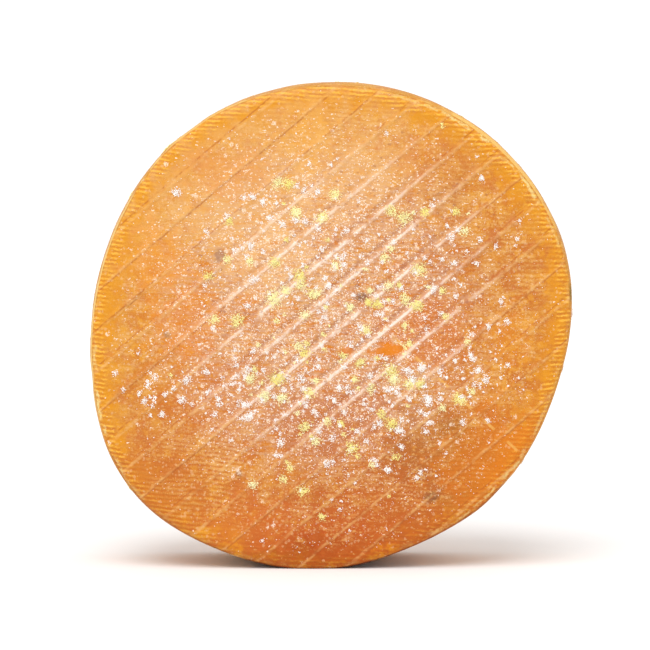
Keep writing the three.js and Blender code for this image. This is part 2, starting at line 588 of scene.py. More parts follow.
@dataclass
class ShaderShop:
    """The shader groups that the finishes share, each built once."""

    form: WheelForm
    patch_raggedness: float = 2.2
    patch_edge: tuple[float, float] = (1.2, 0.45)
    rib_pitch: float = 1.93
    rib_lean: float = 0.07
    rib_fan: float = -0.0004
    rib_waver: float = 5.0
    waver_scale: float = 0.03
    jitter_scale: float = 0.7
    bead_pitch: float = 0.85
    bead_jitter: float = 0.9
    bead_shift: float = 0.37
    fleck_warp: float = 1.5
    fleck_warp_scale: float = 1.7
    fleck_radius: float = 0.18
    fleck_radius_range: float = 0.35
    fleck_edge: float = 0.1

    @cached_property
    def wheel_place(self) -> ShaderGroup:
        """Builds the group that measures a place on the wheel.

        Returns:
            The group, whose Place is in millimetres from the wheel's middle.
        """
        group = ShaderGroup("Wheel place", [("Vector", VECTOR, None)], [("Place", VECTOR)])
        desk = group.desk
        scaled = desk.add("ShaderNodeVectorMath", operation="SCALE")
        desk.feed(scaled.inputs[0], group.source.outputs["Vector"])
        desk.feed(scaled.inputs["Scale"], 1 / MM)
        middle = (self.form.middle_x, 0.0, self.form.centre_height)
        group.give(Place=desk.vector_math("SUBTRACT", scaled.outputs["Vector"], middle))
        return group

    @cached_property
    def patch(self) -> ShaderGroup:
        """Builds the group that makes a soft ragged patch round a place.

        Returns:
            The group, whose Mask is 1 inside the patch.
        """
        inputs = [
            ("Place", VECTOR, None),
            ("Centre", VECTOR, (0.0, 0.0, 0.0)),
            ("Radius", FLOAT, 10.0),
            ("Stretch", VECTOR, (1.0, 1.0, 1.0)),
            ("Ragged", FLOAT, 0.5),
        ]
        group = ShaderGroup("Ragged patch", inputs, [("Mask", FLOAT)])
        desk = group.desk
        source = group.source.outputs
        offset = desk.vector_math("SUBTRACT", source["Place"], source["Centre"])
        stretched = desk.vector_math("MULTIPLY", offset, source["Stretch"])
        length = desk.vector_math("DISTANCE", stretched, (0.0, 0.0, 0.0))
        share = desk.math("DIVIDE", length, source["Radius"])
        share = desk.linear(desk.math("SUBTRACT", source["Ragged"], 0.5), self.patch_raggedness, share)
        group.give(Mask=desk.span(share, *self.patch_edge))
        return group

    @cached_property
    def ridge_lines(self) -> ShaderGroup:
        """Builds the group that tells where a place lies among the ridges.

        Returns:
            The group: Off is the offset from the nearest ridge and Step is that ridge's number, and
            Run and Across are the place along and across the ridges.
        """
        results = [(label, FLOAT) for label in ("Off", "Step", "Run", "Across")]
        group = ShaderGroup("Mat ridges", [("Place", VECTOR, None)], results)
        desk = group.desk
        form = self.form
        place = group.source.outputs["Place"]
        axis, run = form.across_axis, form.along_axis
        across = desk.vector_math("DOT_PRODUCT", place, (axis[0], 0.0, axis[1]))
        along = desk.vector_math("DOT_PRODUCT", place, (run[0], 0.0, run[1]))
        turns = desk.math("DIVIDE", desk.math("SUBTRACT", across, form.ridge_offset), form.ridge_pitch)
        step = desk.math("ROUND", turns)
        off = desk.math("MULTIPLY", desk.math("SUBTRACT", turns, step), form.ridge_pitch)
        group.give(Off=off, Step=step, Run=along, Across=across)
        return group

    @cached_property
    def cloth_ribs(self) -> ShaderGroup:
        """Builds the group that makes the print of the draining cloth.

        Returns:
            The group: Rib is 1 on the level ribs, and Bead is 1 on the beads strung along them.
        """
        inputs = [
            ("Place", VECTOR, None),
            ("Rib Pitch", FLOAT, self.rib_pitch),
            ("Bead Pitch", FLOAT, self.bead_pitch),
            ("Waver", FLOAT, self.rib_waver),
        ]
        group = ShaderGroup("Cloth ribs", inputs, [("Rib", FLOAT), ("Bead", FLOAT)])
        desk = group.desk
        source = group.source.outputs
        waver = desk.math("SUBTRACT", desk.noise(source["Place"], self.waver_scale, 1.0), 0.5)
        jitter = desk.math("SUBTRACT", desk.noise(source["Place"], self.jitter_scale, 1.0), 0.5)
        parts = desk.add("ShaderNodeSeparateXYZ")
        desk.feed(parts.inputs[0], source["Place"])
        lean = desk.linear(parts.outputs["X"], self.rib_fan, self.rib_lean)
        level = desk.linear(lean, parts.outputs["X"], parts.outputs["Z"])
        level = desk.linear(waver, source["Waver"], level)
        level = desk.math("ADD", jitter, level)
        rows = desk.math("DIVIDE", level, source["Rib Pitch"])
        rib = desk.math("SINE", desk.math("MULTIPLY", rows, 2 * math.pi))
        rib = desk.linear(rib, 0.5, 0.5)
        step = desk.math("FLOOR", desk.math("ADD", rows, 0.25))
        shift = desk.math("MULTIPLY", step, self.bead_shift)
        run = desk.math("DIVIDE", parts.outputs["X"], source["Bead Pitch"])
        run = desk.linear(jitter, self.bead_jitter, run)
        bead = desk.math("SINE", desk.math("MULTIPLY", desk.math("ADD", run, shift), 2 * math.pi))
        bead = desk.linear(bead, 0.5, 0.5)
        group.give(Rib=rib, Bead=bead)
        return group

    @cached_property
    def flecks(self) -> ShaderGroup:
        """Builds the group that strews small ragged flecks.

        Returns:
            The group: Scale says how fine the flecks are, and Amount which share of them is kept.
        """
        inputs = [("Place", VECTOR, None), ("Scale", FLOAT, 1.5), ("Amount", FLOAT, 0.2)]
        group = ShaderGroup("Fine flecks", inputs, [("Mask", FLOAT)])
        desk = group.desk
        source = group.source.outputs
        warp = desk.add("ShaderNodeTexNoise")
        desk.feed(warp.inputs["Vector"], source["Place"])
        desk.feed(warp.inputs["Scale"], self.fleck_warp_scale)
        warped = desk.vector_math("MULTIPLY", warp.outputs["Color"], (self.fleck_warp,) * 3)
        cells = desk.add("ShaderNodeTexVoronoi", feature="F1")
        desk.feed(cells.inputs["Vector"], desk.vector_math("ADD", source["Place"], warped))
        desk.feed(cells.inputs["Scale"], source["Scale"])
        chance = desk.vector_math("DOT_PRODUCT", cells.outputs["Color"], (1.0, 0.0, 0.0))
        size = desk.vector_math("DOT_PRODUCT", cells.outputs["Color"], (0.0, self.fleck_radius_range, 0.0))
        size = desk.math("ADD", size, self.fleck_radius)
        away = desk.math("SUBTRACT", cells.outputs["Distance"], size)
        kept = desk.math("LESS_THAN", chance, source["Amount"])
        group.give(Mask=desk.product(desk.span(away, self.fleck_edge, -self.fleck_edge), kept))
        return group


@dataclass(frozen=True)
class NoiseSize:
    """A noise over the rind: its features in a millimetre, octaves, weight of the finer ones, and squeeze."""

    scale: float
    detail: float
    roughness: float
    squeeze: tuple[float, float, float] | None = None


class Coat:
    """A material in the making: its tree, the place on the wheel, and its colour so far."""

    bump_strength: float = 0.6
    specular: float = 0.2

    def __init__(self, name: str, shop: ShaderShop) -> None:
        """Starts the material.

        Args:
            name: The material's name.
            shop: The shared shader groups.
        """
        self.made = bpy.data.materials.new(name)
        self.made.use_nodes = True
        self.made.node_tree.nodes.clear()
        self.desk = NodeDesk(self.made.node_tree)
        coordinates = self.desk.add("ShaderNodeTexCoord").outputs["Object"]
        self.place = shop.wheel_place.place(self.desk, Vector=coordinates).outputs["Place"]
        self.colour: Any = None

    def lay(self, share: Any, tone: Any) -> None:
        """Lays a tone over the colour so far."""
        self.colour = self.desk.mix(share, self.colour, tone)

    def noise(self, size: NoiseSize) -> Socket:
        """Spreads a noise over the rind.

        Args:
            size: The noise's sizes.

        Returns:
            The noise, 0 to 1.
        """
        place = self.place
        if size.squeeze:
            place = self.desk.vector_math("MULTIPLY", place, size.squeeze)
        return self.desk.noise(place, size.scale, size.detail, size.roughness)

    def close(self, roughness: Socket, height: Socket, depth: float) -> bpy.types.Material:
        """Closes the material with its shader.

        Args:
            roughness: The surface's roughness.
            height: The height of the fine relief.
            depth: Millimetres for each unit of that height.

        Returns:
            The material.
        """
        desk = self.desk
        bump = desk.add("ShaderNodeBump")
        bump.inputs["Strength"].default_value = self.bump_strength
        bump.inputs["Distance"].default_value = depth * MM
        desk.feed(bump.inputs["Height"], height)
        shader = desk.add("ShaderNodeBsdfPrincipled")
        shader.inputs["Specular IOR Level"].default_value = self.specular
        desk.feed(shader.inputs["Base Color"], self.colour)
        desk.feed(shader.inputs["Roughness"], roughness)
        desk.feed(shader.inputs["Normal"], bump.outputs["Normal"])
        output = desk.add("ShaderNodeOutputMaterial")
        desk.feed(output.inputs["Surface"], shader.outputs["BSDF"])
        return self.made


@dataclass(frozen=True)
class RindPatch:
    """A soft patch on the shown side: where in the plan, how wide, its colour and its strength."""

    x: float
    z: float
    radius: float
    colour: Colour
    strength: float
    wide: float = 1.0
    deep: float = 1.0


@dataclass(frozen=True)
class PrintZone:
    """A zone where the cloth's print shows: where in the plan, how wide, and how strongly."""

    x: float
    z: float
    radius: float
    strength: float
    wide: float = 1.0
    deep: float = 1.0


@dataclass(frozen=True)
class RindFinish:
    """Washed rind: orange to tan, ribbed by the cloth, pale bloom in the middle and gold near the edge."""

    deep: Colour = (192, 106, 22)
    bright: Colour = (208, 136, 40)
    # Laid as painted light up and to the left, and as a random tone on the rim.
    sunny: Colour = (218, 152, 54)
    # Laid as painted shade low down, and as random grain and mottle.
    brown: Colour = (174, 88, 24)
    gold: Colour = (220, 144, 20)
    rib_pale: Colour = (228, 168, 84)
    rib_gold: Colour = (244, 182, 66)
    rib_dark: Colour = (190, 92, 14)
    haze: Colour = (204, 156, 126)
    peach: Colour = (226, 174, 102)
    # Also laid as painted shade on the ridges' upper left flanks.
    mauve: Colour = (158, 100, 76)
    gilt: Colour = (226, 158, 44)
    blush: Colour = (196, 112, 58)
    pale: Colour = (236, 196, 148)
    bare: Colour = (208, 120, 24)
    crest: Colour = (226, 188, 160)
    # Pale crest colours, laid partly as painted light on the ridges' lower right flanks.
    crest_lit: Colour = (254, 240, 228)
    crest_thin: Colour = (240, 188, 118)
    foot: Colour = (173, 85, 28)
    dust: Colour = (252, 234, 212)
    chafed: Colour = (232, 178, 92)
    rim_tan: Colour = (196, 128, 50)
    rim_gold: Colour = (208, 144, 52)
    rim_pale: Colour = (234, 206, 134)
    crack: Colour = (140, 56, 20)
    # Painted shadow in the crease at the face's edge.
    seam: Colour = (140, 82, 24)
    roughness: tuple[float, float] = (0.5, 0.8)
    cloud_noise: NoiseSize = NoiseSize(0.11, 4.0, 0.6)
    broad_noise: NoiseSize = NoiseSize(0.035, 3.0, 0.5)
    ragged_noise: NoiseSize = NoiseSize(0.16, 4.0, 0.65)
    grain_noise: NoiseSize = NoiseSize(1.9, 2.0, 0.6)
    drawn_noise: NoiseSize = NoiseSize(1.0, 3.0, 0.6, (0.12, 1.4, 0.12))
    streaks_noise: NoiseSize = NoiseSize(0.8, 3.0, 0.6, (0.2, 1.0, 1.0))
    crumbs_noise: NoiseSize = NoiseSize(1.15, 3.0, 0.75)
    broken_noise: NoiseSize = NoiseSize(0.42, 2.0, 0.5, (0.6, 1.0, 1.0))
    gilt_noise: NoiseSize = NoiseSize(0.21, 3.0, 0.65)
    mottle_noise: NoiseSize = NoiseSize(2.6, 2.0, 0.7)
    blot_scale: float = 0.75
    clump_scale: float = 0.4
    soft_scale: float = 1.3
    dark_scale: float = 0.95
    sharp_scale: float = 1.7
    fleck_squeeze: tuple[float, float, float] = (0.62, 1.0, 1.0)
    face_edge: tuple[float, float] = (-4.7, -3.8)
    edge_shade_inset: float = -3.9
    golden_width: float = 12.0
    middle_at: tuple[float, float, float] = (-5.0, 0.0, 7.0)
    middle_range: tuple[float, float] = (94.0, 36.0)
    heart_squeeze: float = 0.8
    heart_shift: tuple[float, float] = (-9.0, -4.0)
    heart_range: tuple[float, float] = (70.0, 16.0)
    broken_range: tuple[float, float] = (0.4, 0.56)
    streaks_share: float = 0.45
    crumbs_share: float = 0.55
    middle_density: float = 0.1
    cloud_density: float = 0.36
    veil_range: tuple[float, float] = (0.505, 0.575)
    print_reach: tuple[float, float] = (7.6, 4.6)
    print_raggedness: float = 9.0
    # Painted light and shade: the slope that makes the ground sunnier up and to the left and browner low
    # down.
    painted_light_slope: tuple[float, float, float] = (-0.0050, 0.0, 0.0070)
    rib_relief: float = 0.7
    bead_relief: float = 0.4
    grain_relief: float = 0.9
    veil_relief: float = 0.35
    drawn_relief: float = 2.5
    bump_depth: float = 0.25
    chafe_along: float = 16.0
    chafe_lean: float = 0.125
    chafe_across: float = -66.0
    chafe_reach: float = 46.0
    patches: tuple[RindPatch, ...] = (
        RindPatch(7, -88, 16, (188, 74, 20), 0.75, 1.8),
        RindPatch(-6, -96, 12, (162, 70, 10), 0.8, 3.2),
        RindPatch(40, -86, 13, (176, 80, 14), 0.6, 1.6),
        RindPatch(-22, -84, 12, (187, 82, 26), 0.5, 1.5),
        RindPatch(-14, 62, 44, (228, 176, 118), 0.28, 1.5),
        RindPatch(-52, 44, 34, (228, 172, 100), 0.18, 1.2),
        # Painted shade: darkens the lower right of the face.
        RindPatch(60, -68, 40, (184, 94, 18), 0.4, 1.3),
        RindPatch(0, -56, 32, (186, 104, 50), 0.4, 1.8),
        RindPatch(4, -38, 20, (186, 112, 66), 0.45, 1.5),
        RindPatch(38, 0, 18, (194, 112, 60), 0.35, 1.2),
        RindPatch(-76, -70, 26, (196, 110, 36), 0.5, 1.2),
        RindPatch(52, -62, 26, (160, 90, 38), 0.6, 1.3),
        RindPatch(20, -76, 22, (170, 88, 38), 0.45, 1.6),
        RindPatch(62, 24, 22, (180, 98, 46), 0.35, 1.4),
        RindPatch(-60, -40, 20, (184, 100, 50), 0.35, 1.5),
        RindPatch(50, 62, 14, (176, 108, 46), 0.4, 0.8),
        RindPatch(54, -42, 6, (146, 92, 26), 0.75, 1.6),
        RindPatch(78, -4, 14, (224, 142, 30), 0.4, 0.8),
        RindPatch(80, -50, 10, (222, 126, 22), 0.5, 1.2),
        RindPatch(72, -62, 8, (216, 120, 20), 0.55, 1.4),
        RindPatch(-14, 16, 13, (222, 176, 92), 0.4, 1.3),
        RindPatch(36, -22, 12, (222, 176, 92), 0.35, 1.3),
        RindPatch(-22, -26, 12, (222, 176, 92), 0.35, 1.5),
    )
    bare_patches: tuple[RindPatch, ...] = (
        RindPatch(42, -2, 18, (200, 110, 40), 0.68, 1.2),
        RindPatch(2, -40, 18, (184, 104, 50), 0.64, 1.6),
        RindPatch(-26, -26, 14, (196, 122, 74), 0.35, 1.3),
        RindPatch(-52, -30, 20, (200, 110, 36), 0.3, 1.1),
        RindPatch(-60, 2, 18, (224, 130, 42), 0.4, 0.9),
        RindPatch(-24, 26, 18, (238, 196, 144), 0.28, 1.3),
        RindPatch(-34, 48, 24, (240, 190, 118), 0.28, 1.4),
        RindPatch(6, 62, 18, (242, 194, 128), 0.24, 1.6),
        RindPatch(46, -44, 17, (168, 100, 42), 0.45, 1.2),
        RindPatch(70, -58, 30, (212, 118, 12), 0.55, 1.0),
        RindPatch(30, -84, 24, (196, 96, 18), 0.35, 1.6),
        RindPatch(-34, -84, 14, (200, 106, 38), 0.6, 1.6),
        RindPatch(-72, -70, 22, (190, 104, 34), 0.4, 1.1),
        RindPatch(-8, 80, 15, (234, 168, 66), 0.4, 0.8),
        RindPatch(-44, 66, 12, (214, 124, 50), 0.35, 1.6),
        RindPatch(44, 70, 12, (206, 122, 50), 0.35, 1.4),
        RindPatch(-72, 26, 18, (226, 138, 44), 0.4, 0.9),
        RindPatch(-45.4, 30.4, 3.4, (146, 108, 96), 0.6),
        RindPatch(14, 12.6, 2.2, (120, 82, 66), 0.85, 1.8),
        RindPatch(12.4, 17.4, 1.3, (140, 80, 50), 0.6, 0.9),
        RindPatch(44.6, -72, 3.4, (110, 80, 56), 0.6, 1.4),
        RindPatch(-37.8, -61.7, 2.2, (123, 96, 80), 0.5),
        RindPatch(-68, -3, 2.0, (131, 96, 76), 0.55),
        RindPatch(-84, 66.5, 2.4, (149, 115, 93), 0.5),
        RindPatch(-20, 1, 2.6, (212, 124, 24), 0.6, 2.8),
        RindPatch(-34, 12, 3.2, (212, 124, 24), 0.5, 2.0),
        RindPatch(29, 25, 3.5, (208, 118, 28), 0.5, 1.6),
    )
    clean_patches: tuple[RindPatch, ...] = (
        RindPatch(27, -8.6, 3.4, (222, 126, 14), 0.85, 1.8),
        RindPatch(22, -10.6, 2.2, (218, 124, 18), 0.7, 2.4),
        RindPatch(8.5, -9.8, 2.0, (216, 120, 24), 0.6, 1.5),
        RindPatch(-3, -18.2, 1.1, (212, 116, 26), 0.6, 4.0),
        RindPatch(-6, -21.0, 1.0, (212, 116, 26), 0.6, 4.0),
    )
    rim_patches: tuple[RindPatch, ...] = (
        # Painted shade: these three darken the rim towards the bottom, deepest on the underside.
        RindPatch(-68, -80, 34, (172, 100, 40), 0.8, 1.0, 0.3),
        RindPatch(48, -94, 36, (156, 78, 12), 0.85, 1.3, 0.35),
        RindPatch(0, -104, 26, (112, 46, 4), 0.97, 1.8, 0.9),
        RindPatch(-104, 20, 62, (240, 204, 126), 0.85, 0.6, 0.12),
        RindPatch(-60, 92, 40, (236, 196, 112), 0.7, 1.0, 0.16),
        # Painted light: these two lighten the rim on the right, over its own tan and gold.
        RindPatch(72, 72, 46, (238, 190, 104), 0.85, 1.0, 0.16),
        RindPatch(100, -30, 34, (204, 138, 46), 0.8, 0.6, 0.2),
        RindPatch(102.5, 14.5, 4.5, (107, 92, 32), 0.8, 1.0, 1.3),
        RindPatch(-92, -22, 3.0, (105, 85, 49), 0.5, 1.0, 1.2),
    )
    ribbed: tuple[PrintZone, ...] = (
        PrintZone(-58, -71, 24, 1.0, 1.3),
        PrintZone(46, -52, 10, 0.8, 1.2),
        PrintZone(57, 72, 22, 0.5, 1.1),
        PrintZone(88, 30, 20, 0.5, 0.8),
        PrintZone(84, -46, 11, 1.0, 0.9),
        PrintZone(52, -66, 16, 0.6, 1.3),
        PrintZone(-2, 92, 20, 0.35, 1.6),
        PrintZone(30, -34, 26, 0.3, 1.2),
    )

    def material(self, shop: ShaderShop) -> bpy.types.Material:
        """Builds the rind's material with the shared shader groups."""
        return RindPainter(self, shop).paint()


@dataclass
class RindMasks:
    """What the rind's painting steps share: shares and measures of the place, each an output of a node."""

    across: Any = None
    bead: Any = None
    broad: Any = None
    broken: Any = None
    cloud: Any = None
    crack: Any = None
    drawn: Any = None
    edge: Any = None
    face: Any = None
    fine: Any = None
    grain: Any = None
    heart: Any = None
    height: Any = None
    inset: Any = None
    middle: Any = None
    off: Any = None
    ragged: Any = None
    rib: Any = None
    run: Any = None
    step: Any = None
    streaks: Any = None
    veil: Any = None
    worn: Any = None
    zone: Any = None


class RindPainter(Coat):
    """The rind's material in the making, painted in steps that each lie over the last."""

    def __init__(self, finish: RindFinish, shop: ShaderShop) -> None:
        """Starts the material.

        Args:
            finish: The rind's finish.
            shop: The shared shader groups.
        """
        super().__init__("washed_rind", shop)
        self.finish = finish
        self.shop = shop
        self.masks = RindMasks()

    def paint(self) -> bpy.types.Material:
        """Paints all the steps in order.

        Returns:
            The material.
        """
        self._measure()
        self._lay_ground()
        self.lay_patches(self.finish.patches)
        self._print_cloth()
        self._spread_bloom()
        self.lay_patches(self.finish.bare_patches)
        self._bring_out_ridges()
        self._draw_marks()
        self._strew_dust()
        self.lay_patches(self.finish.clean_patches)
        self._finish_rim()
        roughness = self.desk.span(self.masks.veil, 0.0, 1.0, *self.finish.roughness)
        return self.close(roughness, self._relief(), self.finish.bump_depth)

    def patch(self, patch: RindPatch | PrintZone) -> Socket:
        """Places one ragged patch.

        Args:
            patch: Where the patch lies and how wide it is.

        Returns:
            The patch's mask times its strength.
        """
        node = self.shop.patch.place(
            self.desk,
            Place=self.place,
            Centre=(patch.x, -self.shop.form.half, patch.z),
            Radius=patch.radius,
            Stretch=(1 / patch.wide, 1 / patch.deep, 1.0),
            Ragged=self.masks.ragged,
        )
        return self.desk.math("MULTIPLY", node.outputs["Mask"], patch.strength)

    def lay_patches(self, patches: Iterable[RindPatch]) -> None:
        """Lays patches over the colour so far."""
        for patch in patches:
            self.lay(self.patch(patch), patch.colour)

    def flecks(self, place: Socket, scale: float, amount: Socket) -> Socket:
        """Strews flecks and returns their mask."""
        return self.shop.flecks.place(self.desk, Place=place, Scale=scale, Amount=amount).outputs["Mask"]

    def _measure(self) -> None:
        """Makes the masks that the rind's painting steps share."""
        desk, place, finish, masks = self.desk, self.place, self.finish, self.masks
        for name in ("inset", "crack", "worn"):
            setattr(masks, name, desk.attribute(name))
        for name in ("cloud", "broad", "ragged", "grain", "drawn", "streaks"):
            setattr(masks, name, self.noise(getattr(finish, name + "_noise")))
        masks.face = desk.span(masks.inset, *finish.face_edge)
        masks.height = desk.vector_math("DOT_PRODUCT", place, (0.0, 0.0, 1.0))
        ridges = self.shop.ridge_lines.place(desk, Place=place).outputs
        masks.off, masks.step = ridges["Off"], ridges["Step"]
        masks.run, masks.across = ridges["Run"], ridges["Across"]
        ribs = self.shop.cloth_ribs.place(desk, Place=place).outputs
        masks.rib, masks.bead = ribs["Rib"], ribs["Bead"]
        masks.broken = desk.span(self.noise(finish.broken_noise), *finish.broken_range)
        self._measure_middle()
        crumbs = desk.math("MULTIPLY", self.noise(finish.crumbs_noise), finish.crumbs_share)
        masks.fine = desk.linear(masks.streaks, finish.streaks_share, crumbs)
        density = desk.math("MULTIPLY", masks.middle, finish.middle_density)
        density = desk.linear(desk.math("SUBTRACT", masks.cloud, 0.5), finish.cloud_density, density)
        masks.veil = desk.span(desk.math("ADD", masks.fine, density), *finish.veil_range)
        printed = desk.linear(masks.ragged, finish.print_raggedness, masks.inset)
        masks.edge = desk.span(printed, *finish.print_reach)
        masks.zone = 0.0
        for patch in finish.ribbed:
            masks.zone = desk.math("MAXIMUM", masks.zone, self.patch(patch))

    def _measure_middle(self) -> None:
        """Measures the round middle of the bloom, and the oval heart of the pale ridges."""
        desk, masks, finish = self.desk, self.masks, self.finish
        flat = desk.vector_math("MULTIPLY", self.place, (1.0, 0.0, 1.0))
        reach = desk.vector_math("DISTANCE", flat, finish.middle_at)
        masks.middle = desk.span(reach, *finish.middle_range)
        shift_along, shift_across = finish.heart_shift
        oval = desk.add("ShaderNodeCombineXYZ")
        desk.feed(oval.inputs["X"], desk.linear(masks.run, finish.heart_squeeze, shift_along))
        desk.feed(oval.inputs["Y"], desk.math("ADD", masks.across, shift_across))
        slim = desk.vector_math("DISTANCE", oval.outputs["Vector"], (0.0, 0.0, 0.0))
        masks.heart = desk.span(slim, *finish.heart_range)

    def _lay_ground(self) -> None:
        """Lays the rind's orange: cloudy, with painted light making it sunnier up and to the left and painted
        shade making it browner low down.
        """
        desk, masks, finish = self.desk, self.masks, self.finish
        self.colour = desk.mix(desk.span(masks.cloud, 0.34, 0.66), finish.deep, finish.bright)
        # Painted light and shade: sunnier up and to the left, browner low down, stirred by a broad random
        # tone.
        slope = desk.vector_math("DOT_PRODUCT", self.place, finish.painted_light_slope)
        slope = desk.math("ADD", slope, desk.linear(masks.broad, 1.0, -0.5))
        self.lay(desk.span(slope, -0.1, 0.9, 0.0, 0.75), finish.sunny)
        self.lay(desk.span(slope, -0.1, -0.9, 0.0, 0.6), finish.brown)
        self.lay(desk.span(masks.grain, 0.45, 0.25, 0.0, 0.3), finish.brown)
        gilt = self.noise(finish.gilt_noise)
        self.lay(desk.span(gilt, 0.5, 0.62, 0.0, 0.6), finish.gilt)
        self.lay(desk.span(gilt, 0.48, 0.36, 0.0, 0.55), finish.blush)
        mottle = self.noise(finish.mottle_noise)
        self.lay(desk.span(mottle, 0.46, 0.66, 0.0, 0.36), finish.peach)
        self.lay(desk.span(mottle, 0.5, 0.34, 0.0, 0.2), finish.brown)
        golden = desk.span(masks.inset, finish.golden_width, 1.0)
        golden = desk.product(golden, desk.span(masks.ragged, 0.36, 0.6, 0.25, 0.85))
        self.lay(golden, finish.gold)

    def _print_cloth(self) -> None:
        """Prints the cloth: golden ovals along the edge, faded towards the bottom as painted shade, and rows
        of fine pale beads further in.
        """
        desk, masks, finish = self.desk, self.masks, self.finish
        patchy = desk.span(masks.cloud, 0.36, 0.58, 0.1, 1.0)
        rib = desk.span(masks.rib, 0.4, 0.95)
        groove = desk.span(masks.rib, 0.5, 0.1)
        beads = desk.product(rib, desk.linear(masks.bead, 0.85, 0.15))
        zone = desk.product(masks.zone, patchy)
        self.lay(desk.product(groove, zone, 0.45), finish.rib_dark)
        self.lay(desk.product(beads, zone, 0.72), finish.rib_pale)
        edge = desk.product(masks.edge, desk.linear(masks.broken, 0.85, 0.15))
        self.lay(desk.product(groove, edge, 0.34), finish.rib_dark)
        # Painted shade: the golden ovals fade towards the bottom of the wheel.
        painted_light_share = desk.span(masks.height, -98.0, -62.0, 0.2, 1.0)
        oval = desk.product(rib, edge, painted_light_share, desk.span(masks.grain, 0.34, 0.56, 0.35, 1.0))
        self.lay(oval, finish.rib_gold)

    def _spread_bloom(self) -> None:
        """Spreads the pinkish bloom in fine level streaks, dense in the middle."""
        desk, masks, finish = self.desk, self.masks, self.finish
        bare = desk.span(masks.rib, 0.1, 0.5, 0.5, 1.0)
        share = desk.product(masks.veil, bare, desk.linear(masks.middle, 0.3, 0.45))
        share = desk.product(share, desk.span(masks.inset, 0.0, 12.0, 0.15, 1.0))
        tint = desk.mix(desk.span(masks.middle, 0.0, 0.75), finish.peach, finish.haze)
        tint = desk.mix(desk.span(masks.grain, 0.52, 0.72, 0.0, 0.8), tint, finish.crest)
        self.lay(share, tint)
        bared = desk.product(desk.span(masks.streaks, 0.47, 0.38), masks.middle, 0.7)
        self.lay(bared, finish.bare)

    def _bring_out_ridges(self) -> None:
        """Brings out the ridges: pale and broad in the middle, thin with a darker foot further out, with
        painted shade on their upper left flanks and their pale lines set onto the lower right flanks as
        painted light.
        """
        desk, masks, finish = self.desk, self.masks, self.finish
        wander = desk.linear(masks.ragged, 1.6, -0.8)
        off = desk.math("ADD", masks.off, wander)
        away = desk.math("ABSOLUTE", off)
        rubbed = desk.span(masks.cloud, 0.3, 0.62, 0.25, 1.0)
        # Painted shade: a mauve band on each ridge's upper left flank.
        side = desk.span(desk.gap(off, 2.6), 1.6, 0.2)
        self.lay(desk.product(side, masks.heart, rubbed, 0.6), finish.mauve)
        broad = desk.product(desk.span(away, 2.5, 0.6), masks.heart, rubbed, 0.6)
        self.lay(broad, finish.crest)
        # Partly painted light: the pale core sits a little down the lower right flank, lightening its shade.
        core = desk.span(desk.gap(off, -0.25), 0.9, 0.25)
        core = desk.product(core, masks.heart, desk.span(masks.cloud, 0.34, 0.54), 0.85)
        self.lay(core, finish.crest_lit)
        outer = desk.linear(masks.heart, -0.8, 1.0)
        # Partly painted light: the thin pale line sits on the lower right flank, lightening the shade there.
        low = desk.gap(off, -0.6)
        seen = desk.span(masks.broken, 0.0, 1.0, 0.3, 1.0)
        thin = desk.product(desk.span(low, 1.0, 0.2), outer, rubbed, seen, 0.55)
        self.lay(thin, finish.crest_thin)
        parity = desk.math("PINGPONG", desk.math("MULTIPLY", masks.step, 0.7), 1.0)
        foot_at = desk.linear(desk.span(parity, 0.4, 0.6), 2.2, -1.1)
        foot = desk.span(desk.gap(off, foot_at), 0.55, 0.1)
        foot = desk.product(foot, outer, desk.span(masks.ragged, 0.4, 0.56), 0.55)
        self.lay(foot, finish.foot)
        self.lay(desk.span(masks.crack, 0.2, 0.9, 0.0, 0.75), finish.crack)

    def _draw_marks(self) -> None:
        """Draws the short pale marks that cross the valleys between the ridges in one slanting line."""
        desk, masks, finish = self.desk, self.masks, self.finish
        line = desk.linear(masks.across, finish.chafe_lean, masks.run)
        mark = desk.span(desk.gap(line, finish.chafe_along), 0.8, 0.35)
        valley = desk.span(desk.math("ABSOLUTE", masks.off), 3.2, 4.2)
        away = desk.gap(masks.across, finish.chafe_across)
        reach = desk.span(away, finish.chafe_reach, finish.chafe_reach - 4.0)
        self.lay(desk.product(mark, valley, reach, masks.face, 0.6), finish.chafed)

    def _strew_dust(self) -> None:
        """Dusts the rind with fine flecks, few and peach near the edge, many and white in the middle."""
        desk, place, masks, finish = self.desk, self.place, self.masks, self.finish
        inner = desk.span(masks.inset, 1.0, 14.0, 0.3, 1.0)
        more = desk.linear(masks.cloud, 1.1, -0.3)
        more = desk.linear(masks.middle, 0.22, more)
        more = desk.math("ADD", more, desk.span(masks.height, 20.0, 75.0, 0.0, 0.13))
        blots = desk.linear(masks.ragged, 1.5, -0.42)
        blots = self.flecks(place, finish.blot_scale, desk.product(blots, inner))
        self.lay(desk.product(blots, masks.face, 0.34), finish.pale)
        clumps = desk.linear(masks.middle, 0.3, -0.82)
        clumps = desk.linear(masks.ragged, 1.5, clumps)
        clumps = self.flecks(place, finish.clump_scale, desk.product(clumps, inner))
        powdery = desk.span(masks.grain, 0.38, 0.56)
        self.lay(desk.product(clumps, powdery, masks.face, 0.7), finish.dust)
        level = desk.vector_math("MULTIPLY", place, finish.fleck_squeeze)
        few = desk.product(more, inner)
        soft = self.flecks(level, finish.soft_scale, few)
        self.lay(desk.product(soft, 0.5), finish.peach)
        dull = desk.math("MULTIPLY", masks.heart, 0.34)
        dark = self.flecks(level, finish.dark_scale, dull)
        self.lay(desk.product(dark, 0.45), finish.mauve)
        fewer = desk.product(desk.math("SUBTRACT", more, 0.22), inner, desk.math("ADD", masks.middle, 0.4))
        sharp = self.flecks(level, finish.sharp_scale, fewer)
        self.lay(desk.product(sharp, 0.85), finish.dust)

